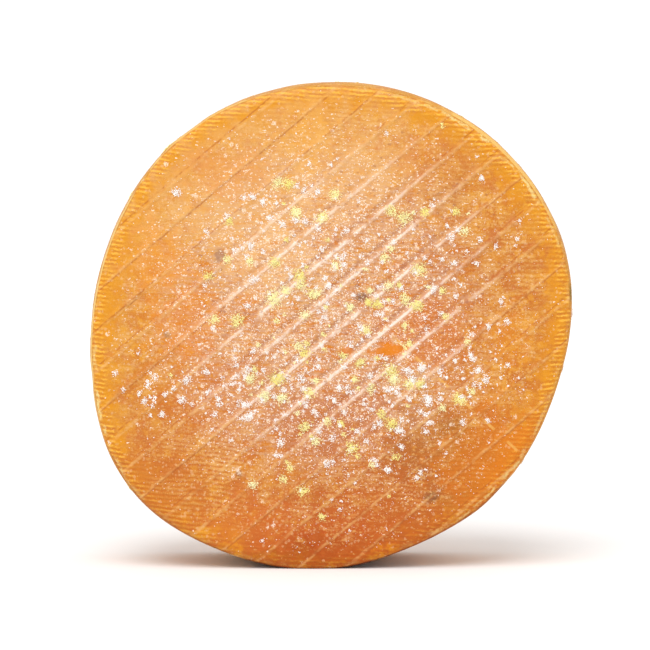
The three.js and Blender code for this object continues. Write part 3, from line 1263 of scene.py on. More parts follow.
    def _finish_rim(self) -> None:
        """Finishes the rim: smoother tan and gold, darkened low down as painted shade and lightened on the
        right as painted light, with a painted shadow line in the crease at the face's edge and the worn pale
        line along that edge.
        """
        desk, masks, finish = self.desk, self.masks, self.finish
        face_colour = self.colour
        self.colour = desk.mix(desk.span(masks.drawn, 0.35, 0.65), finish.rim_tan, finish.rim_gold)
        self.lay(desk.span(masks.cloud, 0.52, 0.36, 0.0, 0.55), finish.blush)
        self.lay(desk.span(masks.ragged, 0.5, 0.68, 0.0, 0.45), finish.sunny)
        self.lay(desk.span(masks.broad, 0.5, 0.66, 0.0, 0.5), finish.peach)
        # The rim patches lay painted shade low down and painted light on the right, over the rim's own pale
        # and dark marks.
        self.lay_patches(finish.rim_patches)
        high = desk.span(masks.height, -80.0, -30.0)
        powder = desk.product(desk.span(masks.fine, 0.5, 0.62, 0.0, 0.4), high)
        self.lay(powder, finish.rim_pale)
        self.lay(masks.face, face_colour)
        # Painted shadow: a thin dark line in the crease between the face and its rounded edge.
        line = desk.span(desk.gap(masks.inset, finish.edge_shade_inset), 0.7, 0.1)
        line = desk.product(line, desk.span(masks.cloud, 0.42, 0.58), 0.35)
        self.lay(line, finish.seam)
        at = desk.linear(masks.ragged, 5.0, desk.math("ADD", masks.inset, 0.4))
        worn = desk.product(desk.span(desk.math("ABSOLUTE", at), 1.3, 0.2), masks.worn)
        worn = desk.product(worn, desk.span(masks.cloud, 0.42, 0.56), desk.span(masks.fine, 0.4, 0.52))
        self.lay(worn, finish.rim_pale)

    def _relief(self) -> Socket:
        """Makes the fine relief: cloth ribs on the faces, drawn lines on the rim, and grain all over.

        Returns:
            The relief's height.
        """
        desk, masks, finish = self.desk, self.masks, self.finish
        printed = desk.math("MAXIMUM", masks.edge, masks.zone)
        print_depth = desk.product(masks.face, desk.linear(printed, 0.7, 0.15))
        rib = desk.product(masks.rib, print_depth, finish.rib_relief)
        bead = desk.product(masks.rib, masks.bead, print_depth, finish.bead_relief)
        grain = desk.math("MULTIPLY", masks.grain, finish.grain_relief)
        height = desk.math("ADD", desk.math("ADD", rib, bead), grain)
        height = desk.linear(masks.veil, finish.veil_relief, height)
        on_rim = desk.math("SUBTRACT", 1.0, masks.face)
        return desk.math("ADD", height, desk.product(on_rim, masks.drawn, finish.drawn_relief))


@dataclass(frozen=True)
class MouldFinish:
    """Powdery mould: one pale colour that varies from tuft to tuft and in its grain."""

    name: str
    light: Colour
    dark: Colour
    grain_noise: NoiseSize = NoiseSize(2.2, 2.0, 0.6)
    tuft_share: float = 0.6
    roughness: tuple[float, float] = (0.86, 0.96)
    bump_depth: float = 0.1

    def material(self, shop: ShaderShop) -> bpy.types.Material:
        """Builds the mould's material.

        Args:
            shop: The shared shader groups.

        Returns:
            The material.
        """
        coat = Coat(self.name, shop)
        desk = coat.desk
        grain = coat.noise(self.grain_noise)
        fine = desk.math("MULTIPLY", grain, 1 - self.tuft_share)
        share = desk.linear(desk.attribute("tone"), self.tuft_share, fine)
        coat.colour = desk.mix(desk.span(share, 0.15, 0.85), self.light, self.dark)
        return coat.close(desk.span(grain, 0.2, 0.8, *self.roughness), grain, self.bump_depth)


def mesh_object(name: str, vertices: np.ndarray, faces: Sequence[Sequence[int]]) -> bpy.types.Object:
    """Makes a smooth mesh object in the scene.

    Args:
        name: The piece's name.
        vertices: One row for each vertex, in metres.
        faces: Vertex numbers of each face.

    Returns:
        The object, at the origin.
    """
    mesh = bpy.data.meshes.new(name)
    mesh.from_pydata(vertices.tolist(), [], faces)
    mesh.update()
    mesh.shade_smooth()
    made = bpy.data.objects.new(name, mesh)
    bpy.context.scene.collection.objects.link(made)
    return made


def store(mesh: bpy.types.Mesh, name: str, values: np.ndarray) -> None:
    """Stores a number for each vertex of a mesh under a name."""
    layer = mesh.attributes.new(name, "FLOAT", "POINT")
    layer.data.foreach_set("value", values.astype(np.float32).ravel())


@dataclass
class CheeseWheel:
    """The wheel itself: two ridged faces and the rim between them, as one closed skin."""

    form: WheelForm
    columns_per_ridge: int = 16
    column_crowding: float = 1.8
    rows: int = 128
    row_crowding: float = 1.35
    edge_steps: int = 7
    belly_steps: int = 14
    end_gaps: tuple[float, ...] = (0.12, 0.5, 1.1, 2.0, 3.2, 4.8, 6.6, 8.6)
    least_gap: float = 0.4
    lump_length: float = 9.0
    lump_height: float = 0.14
    rim_lump_length: float = 16.0
    rim_lump_height: float = 0.3
    crack_full_depth: float = 0.4
    lump_seed: float = 3.7
    rim_lump_seed: float = 11.3
    rim_calm_power: int = 4
    worn_gain: float = 2.0
    worn_least: float = 0.12

    def build(self) -> bpy.types.Object:
        """Builds the wheel's mesh with the numbers that its finish reads.

        Returns:
            The wheel's object.
        """
        across, along = self._face_places()
        parts = [self._face(across, along, side) for side in Side]
        count = across.size
        numbers = np.arange(count).reshape(across.shape)
        loops = (self._border(numbers), self._border(numbers) + count)
        rim, rim_faces = self._rim(parts[0], loops, 2 * count)
        parts.append(rim)
        faces = self._face_quads(numbers, Side.FRONT) + self._face_quads(numbers + count, Side.BACK)
        faces += rim_faces
        table = np.concatenate(parts)
        points = table[:, :3] + np.array((self.form.middle_x, 0.0, self.form.centre_height))
        points[:, 2] = np.maximum(points[:, 2], 0.0)
        made = mesh_object("rind_wheel", points * MM, faces)
        for name, column in (("inset", 3), ("crack", 4), ("worn", 5)):
            store(made.data, name, table[:, column])
        LOG.info("%s: %d vertices", made.name, len(points))
        return made

    def dress(self, made: bpy.types.Object, finish: RindFinish, shop: ShaderShop) -> None:
        """Gives the wheel its rind and its place in the frame.

        Args:
            made: The wheel's object.
            finish: The rind's finish.
            shop: The shared shader groups.
        """
        made.data.materials.append(finish.material(shop))
        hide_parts(NODE)
        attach(made, BODY)

    def _face_places(self) -> tuple[np.ndarray, np.ndarray]:
        """Lays out a face's grid of places.

        Returns:
            Offsets across and along the ridges, one row for each column of the grid.
        """
        form = self.form
        first, last = form.reach_across(-1), form.reach_across(1)
        even = np.linspace(-1, 1, self.columns_per_ridge, endpoint=False)
        cell = np.sign(even) * np.abs(even) ** self.column_crowding * form.ridge_pitch / 2
        steps = np.arange(
            math.floor((first - form.ridge_offset) / form.ridge_pitch),
            math.ceil((last - form.ridge_offset) / form.ridge_pitch) + 1,
        )
        inner = (form.ridge_offset + steps[:, None] * form.ridge_pitch + cell[None, :]).ravel()
        widest = self.end_gaps[-1] + self.least_gap
        inner = inner[(inner > first + widest) & (inner < last - widest)]
        gaps = np.array(self.end_gaps)
        offsets = np.sort(np.concatenate((first + gaps, inner, last - gaps)))
        low, high = form.chord_end(offsets, -1), form.chord_end(offsets, 1)
        even = np.linspace(-1, 1, self.rows)
        shares = np.sign(even) * (1 - (1 - np.abs(even)) ** self.row_crowding)
        along = (low + high)[:, None] / 2 + shares[None, :] * (high - low)[:, None] / 2
        return np.broadcast_to(offsets[:, None], along.shape), along

    def _face(self, across: np.ndarray, along: np.ndarray, side: Side) -> np.ndarray:
        """Works out one face's vertices and their numbers.

        Args:
            across: Offsets across the ridges.
            along: Offsets along the ridges.
            side: Which face.

        Returns:
            Rows of x, y, z, inset, crack and worn.
        """
        form = self.form
        x, z = form.plan(across, along)
        inset = form.inset(x, z)
        height = form.face_height(across, along, side)
        places = np.stack((x.ravel(), np.full(x.size, side.value * form.half), z.ravel()), axis=1)
        lumps = smooth_noise(places, self.lump_length, self.lump_seed * side.value).reshape(x.shape)
        crack = form.crease_depth(across, along) if side is Side.FRONT else np.zeros(x.shape)
        height = height + lumps * self.lump_height * form.edge_calm(inset) - crack
        worn = self._worn(np.degrees(np.arctan2(z, x)))
        y = side.value * (form.half + height)
        cracked = np.clip(crack / self.crack_full_depth, 0, 1)
        return np.stack([v.ravel() for v in (x, y, z, inset, cracked, worn)], axis=1)

    def _worn(self, degrees: np.ndarray) -> np.ndarray:
        """Gives how worn and pale the face's edge is round the wheel, 0 to 1."""
        swell = sum(bead.over(degrees) for bead in self.form.edge_beads)
        return np.clip(self.worn_gain * swell, self.worn_least, 1.0)

    def _face_quads(self, numbers: np.ndarray, side: Side) -> list[tuple[int, int, int, int]]:
        """Lists a face's quads so that they face out.

        Args:
            numbers: Vertex numbers of the grid.
            side: Which face.

        Returns:
            The quads.
        """
        corners = [numbers[:-1, :-1], numbers[:-1, 1:], numbers[1:, 1:], numbers[1:, :-1]]
        if side is Side.BACK:
            corners.reverse()
        return np.stack([c.ravel() for c in corners], axis=1).tolist()

    def _border(self, numbers: np.ndarray) -> np.ndarray:
        """Lists the vertex numbers once round the edge of a grid."""
        return np.concatenate((numbers[:, -1], numbers[-1, -2:0:-1], numbers[::-1, 0], numbers[0, 1:-1]))

    def _arc(self, round_edge: np.ndarray, ring: int, y: np.ndarray) -> np.ndarray:
        """Gives how far round the edge a ring lies from the face, as a distance below zero.

        Args:
            round_edge: Radius of the rounded edge round the wheel.
            ring: Number of the ring, from the front face.
            y: The ring's Y.

        Returns:
            The negative distance for each vertex.
        """
        rings = 2 * self.edge_steps + self.belly_steps - 1
        turned = min(ring + 1, rings - ring, self.edge_steps) / self.edge_steps
        past = np.maximum(self.form.half - round_edge - np.abs(y), 0.0)
        return -(round_edge * turned * math.pi / 2 + past)

    def _rim(
        self, face: np.ndarray, loops: tuple[np.ndarray, np.ndarray], start: int
    ) -> tuple[np.ndarray, list[tuple[int, int, int, int]]]:
        """Joins the two faces by the rounded edges and the belly of the rim.

        Args:
            face: The front face's rows.
            loops: Vertex numbers round the front and the back face.
            start: Number of the rim's first vertex.

        Returns:
            The rim's rows and its quads.
        """
        form = self.form
        degrees = np.degrees(np.arctan2(face[loops[0], 2], face[loops[0], 0]))
        round_edge = form.round_at(degrees)
        turns = (np.arange(1, self.edge_steps + 1) / self.edge_steps) * math.pi / 2
        flank = form.half - round_edge
        rings = [(round_edge * (1 - math.sin(turn)), -flank - round_edge * math.cos(turn)) for turn in turns]
        back = [(inset, -y) for inset, y in reversed(rings)]
        shares = (np.arange(1, self.belly_steps) / self.belly_steps) * 2 - 1
        for share in shares:
            rings.append((-form.rim_belly(degrees, np.full(degrees.shape, share)), share * flank))
        rings += back
        rows = []
        for ring, (inset, y) in enumerate(rings):
            radius = form.rim_radius(degrees) - inset
            x, z = radius * np.cos(np.radians(degrees)), radius * np.sin(np.radians(degrees))
            lumps = smooth_noise(np.stack((x, y, z), axis=1), self.rim_lump_length, self.rim_lump_seed)
            calm = 1 - np.abs(y / form.half) ** self.rim_calm_power
            radius = radius + lumps * self.rim_lump_height * calm
            x, z = radius * np.cos(np.radians(degrees)), radius * np.sin(np.radians(degrees))
            depth = self._arc(round_edge, ring, y)
            rows.append(np.stack((x, y + 0 * x, z, depth, 0 * x, self._worn(degrees)), axis=1))
        size = len(degrees)
        ids = [loops[0]] + [start + ring * size + np.arange(size) for ring in range(len(rings))] + [loops[1]]
        quads: list[tuple[int, int, int, int]] = []
        for near, far in zip(ids, ids[1:]):
            quads += np.stack((near, far, np.roll(far, -1), np.roll(near, -1)), axis=1).tolist()
        return np.concatenate(rows), quads


@dataclass(frozen=True)
class Zone:
    """Where growth sits on a face: a soft round zone of the plan, with its share of all the tufts."""

    x: float
    z: float
    spread: float
    share: float


@dataclass(frozen=True)
class BaldOval:
    """A bald oval of the shown face, where no growth took hold."""

    x: float
    z: float
    wide: float
    high: float

    def covers(self, spots: np.ndarray) -> np.ndarray:
        """Tells which plan places lie inside."""
        return ((spots[:, 0] - self.x) / self.wide) ** 2 + ((spots[:, 1] - self.z) / self.high) ** 2 < 1


@dataclass(frozen=True)
class TuftKind:
    """Sizes of one kind of growth: its tufts, the grains in them, and how many there are."""

    growth: Growth
    tufts: int
    tuft_radius: tuple[float, float]
    grains_per_area: float
    grain_size: tuple[float, float]
    front_share: float
    rim_share: float
    zones: tuple[Zone, ...]
    petals: int = 5
    petal_spread: float = 0.3
    pile: float = 0.25
    seed: int = 1


@dataclass
class Sowing:
    """The grains of one growth as they are sown: places, outward directions, widths and tones."""

    points: list[np.ndarray] = field(default_factory=list)
    normals: list[np.ndarray] = field(default_factory=list)
    sizes: list[np.ndarray] = field(default_factory=list)
    tones: list[np.ndarray] = field(default_factory=list)
    grain_lean: float = 0.35

    def add(self, points: np.ndarray, normals: np.ndarray, sizes: np.ndarray, tones: np.ndarray) -> None:
        """Adds grains to the sowing.

        Args:
            points: Their places.
            normals: The outward directions there.
            sizes: Their widths.
            tones: Their tones, 0 to 1.
        """
        self.points.append(points)
        self.normals.append(normals)
        self.sizes.append(sizes)
        self.tones.append(tones)

    def object(self, name: str, rng: np.random.Generator) -> bpy.types.Object:
        """Makes a mesh of loose points that carries the grains' widths, turns and tones.

        Args:
            name: The name of the points' object.
            rng: The seeded source of chance.

        Returns:
            The object.
        """
        made = mesh_object(name, np.concatenate(self.points) * MM, [])
        store(made.data, "grain_size", np.concatenate(self.sizes) * MM)
        store(made.data, "tone", np.concatenate(self.tones))
        turns = [self._turn(normal, rng) for normal in np.concatenate(self.normals)]
        layer = made.data.attributes.new("grain_turn", "FLOAT_VECTOR", "POINT")
        layer.data.foreach_set("vector", np.array(turns, dtype=np.float32).ravel())
        return made

    def _turn(self, normal: np.ndarray, rng: np.random.Generator) -> tuple[float, float, float]:
        """Turns a grain so that its flat side lies on the rind, with a spin and a small lean.

        Args:
            normal: The outward direction at the grain.
            rng: The seeded source of chance.

        Returns:
            The turn as Euler angles.
        """
        spin = Quaternion((0, 0, 1), rng.random() * 2 * math.pi)
        lean = Quaternion((1, 0, 0), rng.normal(0, self.grain_lean))
        euler = (Vector(normal).to_track_quat("Z", "Y") @ spin @ lean).to_euler()
        return euler.x, euler.y, euler.z


class GrainTree:
    """The Geometry Nodes tree that sets one small blunt grain on each point of a sowing."""

    def __init__(self, name: str, material: bpy.types.Material) -> None:
        """Builds the tree.

        Args:
            name: The tree's name.
            material: The grains' finish.
        """
        self.tree = bpy.data.node_groups.new(name, "GeometryNodeTree")
        face = self.tree.interface
        face.new_socket("Geometry", in_out="INPUT", socket_type="NodeSocketGeometry")
        size = face.new_socket("Grain Scale", in_out="INPUT", socket_type=FLOAT)
        flat = face.new_socket("Flatness", in_out="INPUT", socket_type=FLOAT)
        size.default_value, flat.default_value = 1.0, 0.7
        self.size_id, self.flat_id = size.identifier, flat.identifier
        face.new_socket("Geometry", in_out="OUTPUT", socket_type="NodeSocketGeometry")
        desk = NodeDesk(self.tree)
        source, target = desk.add("NodeGroupInput"), desk.add("NodeGroupOutput")
        grain = desk.add("GeometryNodeMeshUVSphere")
        for label, value in (("Segments", 4), ("Rings", 2), ("Radius", 0.5)):
            grain.inputs[label].default_value = value
        width = self._named(desk, "grain_size", "FLOAT")
        turn = self._named(desk, "grain_turn", "FLOAT_VECTOR")
        scale = desk.math("MULTIPLY", width, source.outputs["Grain Scale"])
        low = desk.math("MULTIPLY", scale, source.outputs["Flatness"])
        sized = desk.add("ShaderNodeCombineXYZ")
        for label, value in (("X", scale), ("Y", scale), ("Z", low)):
            desk.feed(sized.inputs[label], value)
        put = desk.add("GeometryNodeInstanceOnPoints")
        desk.feed(put.inputs["Points"], source.outputs["Geometry"])
        desk.feed(put.inputs["Instance"], grain.outputs["Mesh"])
        desk.feed(put.inputs["Rotation"], turn)
        desk.feed(put.inputs["Scale"], sized.outputs["Vector"])
        real = desk.add("GeometryNodeRealizeInstances")
        desk.feed(real.inputs["Geometry"], put.outputs["Instances"])
        dressed = desk.add("GeometryNodeSetMaterial")
        dressed.inputs["Material"].default_value = material
        desk.feed(dressed.inputs["Geometry"], real.outputs["Geometry"])
        desk.feed(target.inputs["Geometry"], dressed.outputs["Geometry"])

    @staticmethod
    def _named(desk: NodeDesk, name: str, kind: str) -> Socket:
        """Reads a named attribute of the points.

        Args:
            desk: The tree.
            name: The attribute's name.
            kind: Its data type.

        Returns:
            The attribute.
        """
        node = desk.add("GeometryNodeInputNamedAttribute", data_type=kind)
        node.inputs["Name"].default_value = name
        return node.outputs["Attribute"]

    def grow(self, points: bpy.types.Object, name: str, flatness: float) -> bpy.types.Object:
        """Runs the tree on a sowing and keeps the result as a plain mesh.

        Args:
            points: Object whose vertices are the grains' places.
            name: Name of the finished piece.
            flatness: Height of a grain against its width.

        Returns:
            The finished piece.
        """
        modifier = points.modifiers.new("grains", "NODES")
        modifier.node_group = self.tree
        modifier[self.size_id] = 1.0
        modifier[self.flat_id] = flatness
        graph = bpy.context.evaluated_depsgraph_get()
        mesh = bpy.data.meshes.new_from_object(points.evaluated_get(graph), depsgraph=graph)
        mesh.name = name
        made = bpy.data.objects.new(name, mesh)
        bpy.context.scene.collection.objects.link(made)
        sown = points.data
        bpy.data.objects.remove(points)
        bpy.data.meshes.remove(sown)
        return made


@dataclass
class MouldGrowth:
    """One kind of mould on the wheel, grown as tufts of fine grains."""

    form: WheelForm
    kind: TuftKind
    finish: MouldFinish
    placed: tuple[Tuft, ...] = ()
    flatness: float = 0.7
    rim_start: float = -60.0
    rim_range: float = 300.0
    rim_share_used: float = 0.8
    tuft_gap: float = 1.5
    grain_gap: float = 0.6
    small_bias: float = 1.8
    fine_bias: float = 1.4
    petal_reach: float = 0.6
    sunk_share: float = 0.1
    pile_radius: float = 1.5
    pile_spread: float = 1.2
    petal_jitter: float = 0.8
    tuft_tone: float = 0.6
    spare_draws: int = 2
    sowing: Sowing = field(default_factory=Sowing)
    rng: np.random.Generator = field(init=False)

    def __post_init__(self) -> None:
        """Seeds the source of chance."""
        self.rng = np.random.default_rng(self.kind.seed)

    def build(self, shop: ShaderShop) -> bpy.types.Object:
        """Grows the mould and gives it its place in the frame.

        Args:
            shop: The shared shader groups.

        Returns:
            The finished piece.
        """
        name = self.kind.growth.value
        self._sow()
        tree = GrainTree(name + "_grains", self.finish.material(shop))
        made = tree.grow(self.sowing.object(name + "_sowing", self.rng), name, self.flatness)
        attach(made, BODY)
        LOG.info("%s: %d faces", made.name, len(made.data.polygons))
        return made

    def _sow(self) -> None:
        """Chooses every grain's place on both faces and the rim."""
        kind = self.kind
        front = int(kind.tufts * kind.front_share)
        rim = int(kind.tufts * kind.rim_share)
        self._sow_face(self._face_tufts(front, self.placed), Side.FRONT)
        self._sow_face(self._face_tufts(kind.tufts - front - rim, ()), Side.BACK)
        self._sow_rim(rim)

    def _radii(self, count: int) -> np.ndarray:
        """Chooses the radii of tufts, mostly small ones."""
        low, high = self.kind.tuft_radius
        return low + (high - low) * self.rng.random(count) ** self.small_bias

    def _face_tufts(self, count: int, placed: Sequence[Tuft]) -> np.ndarray:
        """Chooses the tufts of one face.

        Args:
            count: How many tufts there are.
            placed: Tufts that have their own places.

        Returns:
            Rows of plan x, plan z and radius.
        """
        zones = self.kind.zones
        shares = np.array([zone.share for zone in zones])
        table = np.array([(zone.x, zone.z, zone.spread) for zone in zones])
        draws = self.spare_draws * count
        chosen = table[self.rng.choice(len(zones), draws, p=shares / shares.sum())]
        spots = chosen[:, :2] + self.rng.normal(0, 1, (draws, 2)) * chosen[:, 2:]
        spots = spots[self.form.inset(spots[:, 0], spots[:, 1]) > self.tuft_gap][: count - len(placed)]
        tufts = np.column_stack((spots, self._radii(len(spots))))
        return np.concatenate((np.array(placed).reshape(-1, 3), tufts))

    def _scatter(self, radii: np.ndarray) -> tuple[np.ndarray, np.ndarray]:
        """Scatters the grains of tufts in petals round each tuft's middle.

        Args:
            radii: Radius of each tuft.

        Returns:
            The number of each grain's tuft, and the grains' offsets in the surface.
        """
        counts = np.maximum(1, (math.pi * radii**2 * self.kind.grains_per_area).astype(int))
        owner = np.repeat(np.arange(len(radii)), counts)
        petals = self.kind.petals
        jitter = self.rng.random((len(radii), petals)) * self.petal_jitter
        turn = (np.arange(petals) + jitter) * 2 * math.pi / petals
        reach = radii[:, None] * self.petal_reach * self.rng.random((len(radii), petals))
        middles = np.stack((reach * np.cos(turn), reach * np.sin(turn)), axis=2)
        chosen = middles[owner, self.rng.integers(0, petals, len(owner))]
        spread = radii[owner, None] * self.kind.petal_spread
        return owner, chosen + self.rng.normal(0, 1, (len(owner), 2)) * spread

    def _widths(self, count: int) -> np.ndarray:
        """Chooses the widths of grains."""
        low, high = self.kind.grain_size
        return low + (high - low) * self.rng.random(count) ** self.fine_bias

    def _tones(self, owner: np.ndarray) -> np.ndarray:
        """Chooses the tones of grains; those of one tuft share the most part of their tone."""
        shared = self.rng.random(int(owner.max()) + 1)[owner]
        own = self.rng.random(len(owner))
        return np.clip(shared * self.tuft_tone + own * (1 - self.tuft_tone), 0, 1)

    def _lift(self, offsets: np.ndarray, radii: np.ndarray, width: np.ndarray) -> np.ndarray:
        """Gives how high above the rind each grain sits, more in the middle of a tuft.

        Args:
            offsets: The grains' offsets from the middles of their tufts.
            radii: The radii of their tufts.
            width: Their widths.

        Returns:
            The height of each grain.
        """
        share = np.hypot(offsets[:, 0], offsets[:, 1]) / (radii * self.pile_spread)
        inner = np.clip(1 - share, 0, 1)
        pile = self.kind.pile * inner * self.rng.random(len(width)) * np.minimum(radii, self.pile_radius)
        return width * self.sunk_share + pile

    def _sow_face(self, tufts: np.ndarray, side: Side) -> None:
        """Sows the grains of one face.

        Args:
            tufts: Rows of plan x, plan z and radius.
            side: Which face.
        """
        owner, offsets = self._scatter(tufts[:, 2])
        spots = tufts[owner, :2] + offsets
        inside = self.form.inset(spots[:, 0], spots[:, 1]) > self.grain_gap
        if side is Side.FRONT:
            for bald in BALD_OVALS:
                inside &= ~bald.covers(spots)
        owner, offsets, spots = owner[inside], offsets[inside], spots[inside]
        width = self._widths(len(owner))
        height = self.form.face_height(spots @ self.form.across_axis, spots @ self.form.along_axis, side)
        y = self.form.half + height + self._lift(offsets, tufts[owner, 2], width)
        points = np.stack(
            (spots[:, 0] + self.form.middle_x, side.value * y, spots[:, 1] + self.form.centre_height), axis=1
        )
        normals = np.tile((0.0, float(side.value), 0.0), (len(owner), 1))
        self.sowing.add(points, normals, width, self._tones(owner))

    def _sow_rim(self, count: int) -> None:
        """Sows the grains of the rim, clear of the flat spot.

        Args:
            count: How many tufts there are.
        """
        radii = self._radii(count)
        owner, offsets = self._scatter(radii)
        shoulder = self.form.half - self.form.edge_round
        at = (self.rim_start + self.rng.random(count) * self.rim_range)[owner]
        y = ((self.rng.random(count) * 2 - 1) * shoulder * self.rim_share_used)[owner] + offsets[:, 1]
        degrees = at + np.degrees(offsets[:, 0] / self.form.mean_radius)
        width = self._widths(len(owner))
        radius = self.form.rim_radius(degrees) + self.form.rim_belly(degrees, np.clip(y / shoulder, -1, 1))
        radius = radius + self._lift(offsets, radii[owner], width)
        turn = np.radians(degrees)
        points = np.stack((radius * np.cos(turn), y, radius * np.sin(turn)), axis=1)
        points += np.array((self.form.middle_x, 0.0, self.form.centre_height))
        normals = np.stack((np.cos(turn), 0 * turn, np.sin(turn)), axis=1)
        self.sowing.add(points, normals, width, self._tones(owner))


@dataclass
class Studio:
    """A plain pale floor, plain soft light, and the camera at the photograph's viewing angle."""

    form: WheelForm
    picture_width: float = 275.9
    camera_distance: float = 1000.0
    camera_rise: float = 33.0
    aim_x: float = -1.3
    aim_z: float = 0.85
    sensor: float = 36.0
    floor_size: float = 60.0
    floor_drop: float = 0.0001
    floor_colour: tuple[float, float, float, float] = (0.92, 0.915, 0.91, 1.0)
    floor_roughness: float = 0.9
    ambient: float = 0.88
    sky: float = 1.1
    key_from: tuple[float, float, float] = (-0.16, -0.64, 1.12)
    key_strength: float = 1.55
    key_width: float = 40.0

    def build(self) -> None:
        """Sets up the floor, the light and the camera."""
        self._floor()
        self._light()
        self._camera()

    def _floor(self) -> None:
        """Lays the floor with its plain white finish."""
        half = self.floor_size / 2
        corners = np.array(((-half, -half, 0), (half, -half, 0), (half, half, 0), (-half, half, 0)))
        floor = mesh_object("studio_floor", corners - np.array((0, 0, self.floor_drop)), [(0, 1, 2, 3)])
        made = bpy.data.materials.new("studio_white")
        made.use_nodes = True
        shader = made.node_tree.nodes["Principled BSDF"]
        shader.inputs["Base Color"].default_value = self.floor_colour
        shader.inputs["Roughness"].default_value = self.floor_roughness
        shader.inputs["Specular IOR Level"].default_value = 0.0
        floor.data.materials.append(made)

    def _light(self) -> None:
        """Lights the scene: an even white room, and one wide soft light from high in front on the left."""
        scene = bpy.context.scene
        world = bpy.data.worlds.new("studio_room")
        scene.world = world
        world.use_nodes = True
        world.node_tree.nodes.clear()
        desk = NodeDesk(world.node_tree)
        chosen = desk.add("ShaderNodeMixShader")
        desk.feed(chosen.inputs[0], desk.add("ShaderNodeLightPath").outputs["Is Camera Ray"])
        for number, strength in ((1, self.ambient), (2, self.sky)):
            glow = desk.add("ShaderNodeBackground")
            glow.inputs["Color"].default_value = (1.0, 1.0, 1.0, 1.0)
            glow.inputs["Strength"].default_value = strength
            desk.feed(chosen.inputs[number], glow.outputs[0])
        desk.feed(desk.add("ShaderNodeOutputWorld").inputs["Surface"], chosen.outputs[0])
        data = bpy.data.lights.new("key_light", "SUN")
        data.energy = self.key_strength
        data.angle = math.radians(self.key_width)
        lamp = bpy.data.objects.new("key_light", data)
        lamp.location = self.key_from
        lamp.rotation_euler = (-Vector(self.key_from)).to_track_quat("-Z", "Y").to_euler()
        scene.collection.objects.link(lamp)
        scene.view_settings.view_transform = "Standard"
        scene.view_settings.look = "None"

    def _camera(self) -> None:
        """Places the camera nearly level in front of the shown face, a little above its middle."""
        front = -(self.form.half - self.form.edge_round)
        x = self.form.middle_x + self.aim_x
        z = self.form.centre_height + self.aim_z
        aim = Vector((x, front, z))
        eye = Vector((x, front - self.camera_distance, z + self.camera_rise))
        data = bpy.data.cameras.new("camera")
        data.sensor_width = self.sensor
        data.lens = self.sensor * (aim - eye).length / self.picture_width
        data.clip_end = self.floor_size
        camera = bpy.data.objects.new("camera", data)
        camera.location = eye * MM
        camera.rotation_euler = (aim - eye).to_track_quat("-Z", "Y").to_euler()
        bpy.context.scene.collection.objects.link(camera)
        bpy.context.scene.camera = camera


YELLOW_PLACES = (
    (-21, 61, 3.0), (-16.5, 60.5, 3.2), (3, 56, 3.2), (-13.5, 48.5, 3.0), (-2.5, 46.5, 3.4),
    (26.5, 49, 3.0), (31.8, 46.5, 3.6), (41, 48.8, 2.6), (-22.5, 27.5, 3.0), (-12.2, 22, 3.0),
    (-11.8, 18, 2.6), (-23, 12, 4.2), (-18, 15.5, 2.8), (-4.5, 14.5, 2.6), (3.4, 26, 2.4), (38.8, 25, 3.4),
    (25.4, 17.8, 2.6), (38, 9, 3.4), (32.8, 12, 2.8), (-10.2, -11, 2.8), (26.5, -18, 3.6), (28, -22, 3.2),
    (34.5, -24, 2.8), (39, -24, 2.6), (-21.5, -22, 4.0), (-33, -21.5, 3.0), (-26.5, -29, 2.8),
    (-19.5, -30, 3.0), (-8, -28, 2.8), (23, -37, 2.6), (27, -41, 3.2), (9.8, -51, 3.0), (-9.6, -42.5, 2.8),
    (-32, -66.5, 2.4), (-19, -64, 2.2), (13.8, -15, 2.6), (-42.4, 28.7, 2.6), (-33, 27.8, 2.2),
    (-48, 3.2, 2.6), (-38.2, 2.8, 3.2), (-14, 49, 2.4), (54.7, -30, 2.4), (61, -27.3, 2.0),
    (48.4, -34, 2.2), (18.7, -58.3, 1.8), (59, -6, 2.0), (-41.6, 44.5, 2.0), (-9.8, 5.3, 2.6),
)

WHITE_PLACES = (
    (-32, 55.4, 2.6), (-64, 57, 2.8), (-27.6, 52.5, 2.0), (-19, 43.6, 2.2), (-31.8, 20.2, 2.4),
    (-39.5, 32.5, 1.8), (-20, -49, 2.8), (-0.4, -57.5, 2.6), (30.6, -43.5, 3.0), (35.6, -22.2, 3.0),
    (66.6, -21.8, 2.8), (63.2, -18, 2.4), (42, -30, 2.8), (-11.9, -21.4, 2.8), (-62, -31, 2.6),
    (-76, -24, 2.4), (-34, -38, 2.6), (52, 38, 2.4),
)

BALD_OVALS = (
    BaldOval(26, -9, 6.0, 2.2),
    BaldOval(8.5, -9.8, 2.6, 1.4),
    BaldOval(-4, -19.5, 4.0, 1.4),
)

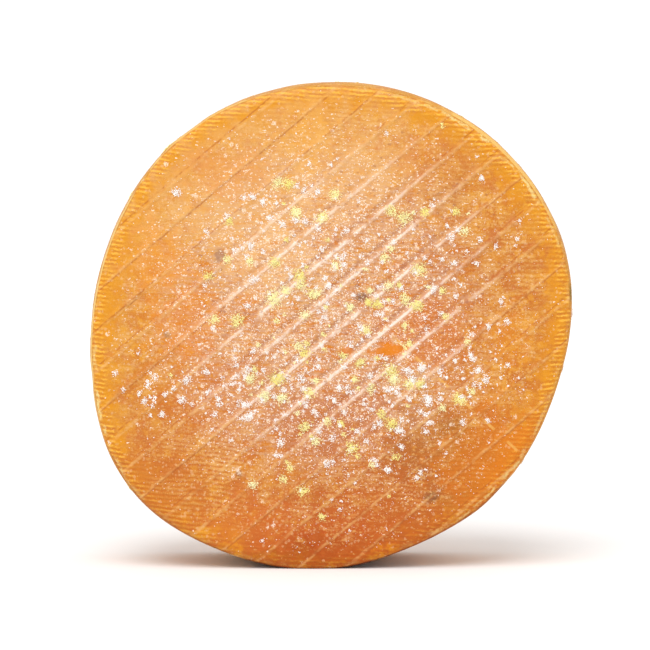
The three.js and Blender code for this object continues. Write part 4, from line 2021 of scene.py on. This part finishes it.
YELLOW_ZONES = (
    Zone(-2, -18, 26, 0.5),
    Zone(8, 20, 28, 0.35),
    Zone(0, -50, 16, 0.15),
)
WHITE_ZONES = (
    Zone(-12, -28, 16, 0.13),
    Zone(28, -20, 14, 0.14),
    Zone(22, -42, 12, 0.08),
    Zone(-38, -24, 8, 0.07),
    Zone(-70, -25, 9, 0.06),
    Zone(64, -18, 8, 0.06),
    Zone(-24, 40, 16, 0.08),
    Zone(2, 22, 20, 0.1),
    Zone(46, 30, 14, 0.05),
    Zone(0, 0, 52, 0.2),
)
SPECK_ZONES = (
    Zone(4, -10, 34, 0.75),
    Zone(0, 0, 72, 0.25),
)


def mould_pieces(form: WheelForm) -> list[MouldGrowth]:
    """Lists the kinds of growth that the rind carries.

    Args:
        form: The wheel's form.

    Returns:
        One growth for each kind.
    """
    yellow = TuftKind(
        Growth.YELLOW,
        tufts=230,
        tuft_radius=(0.8, 2.8),
        grains_per_area=7.2,
        grain_size=(0.28, 0.6),
        front_share=0.55,
        rim_share=0.08,
        zones=YELLOW_ZONES,
        petals=7,
        petal_spread=0.34,
        seed=21,
    )
    white = TuftKind(
        Growth.WHITE,
        tufts=1220,
        tuft_radius=(0.4, 2.2),
        grains_per_area=4.4,
        grain_size=(0.28, 0.62),
        front_share=0.66,
        rim_share=0.08,
        zones=WHITE_ZONES,
        petals=9,
        petal_spread=0.24,
        seed=22,
    )
    specks = TuftKind(
        Growth.SPECKS,
        tufts=13000,
        tuft_radius=(0.3, 0.5),
        grains_per_area=0.2,
        grain_size=(0.2, 0.5),
        front_share=0.6,
        rim_share=0.1,
        zones=SPECK_ZONES,
        petals=1,
        pile=0.0,
        seed=23,
    )
    yellow_finish = MouldFinish("yellow_powder", (255, 252, 208), (247, 232, 128))
    white_finish = MouldFinish("white_powder", (255, 254, 252), (250, 240, 232))
    return [
        MouldGrowth(form, yellow, yellow_finish, YELLOW_PLACES),
        MouldGrowth(form, white, white_finish, WHITE_PLACES),
        MouldGrowth(form, specks, white_finish),
    ]


def main() -> None:
    """Builds the wheel, its mould and the studio, and reports each piece."""
    logging.basicConfig(level=logging.INFO, format="%(name)s: %(message)s")
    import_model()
    form = WheelForm()
    shop = ShaderShop(form)
    Studio(form).build()
    wheel = CheeseWheel(form)
    wheel.dress(wheel.build(), RindFinish(), shop)
    for growth in mould_pieces(form):
        growth.build(shop)


if __name__ == "__main__":
    main()
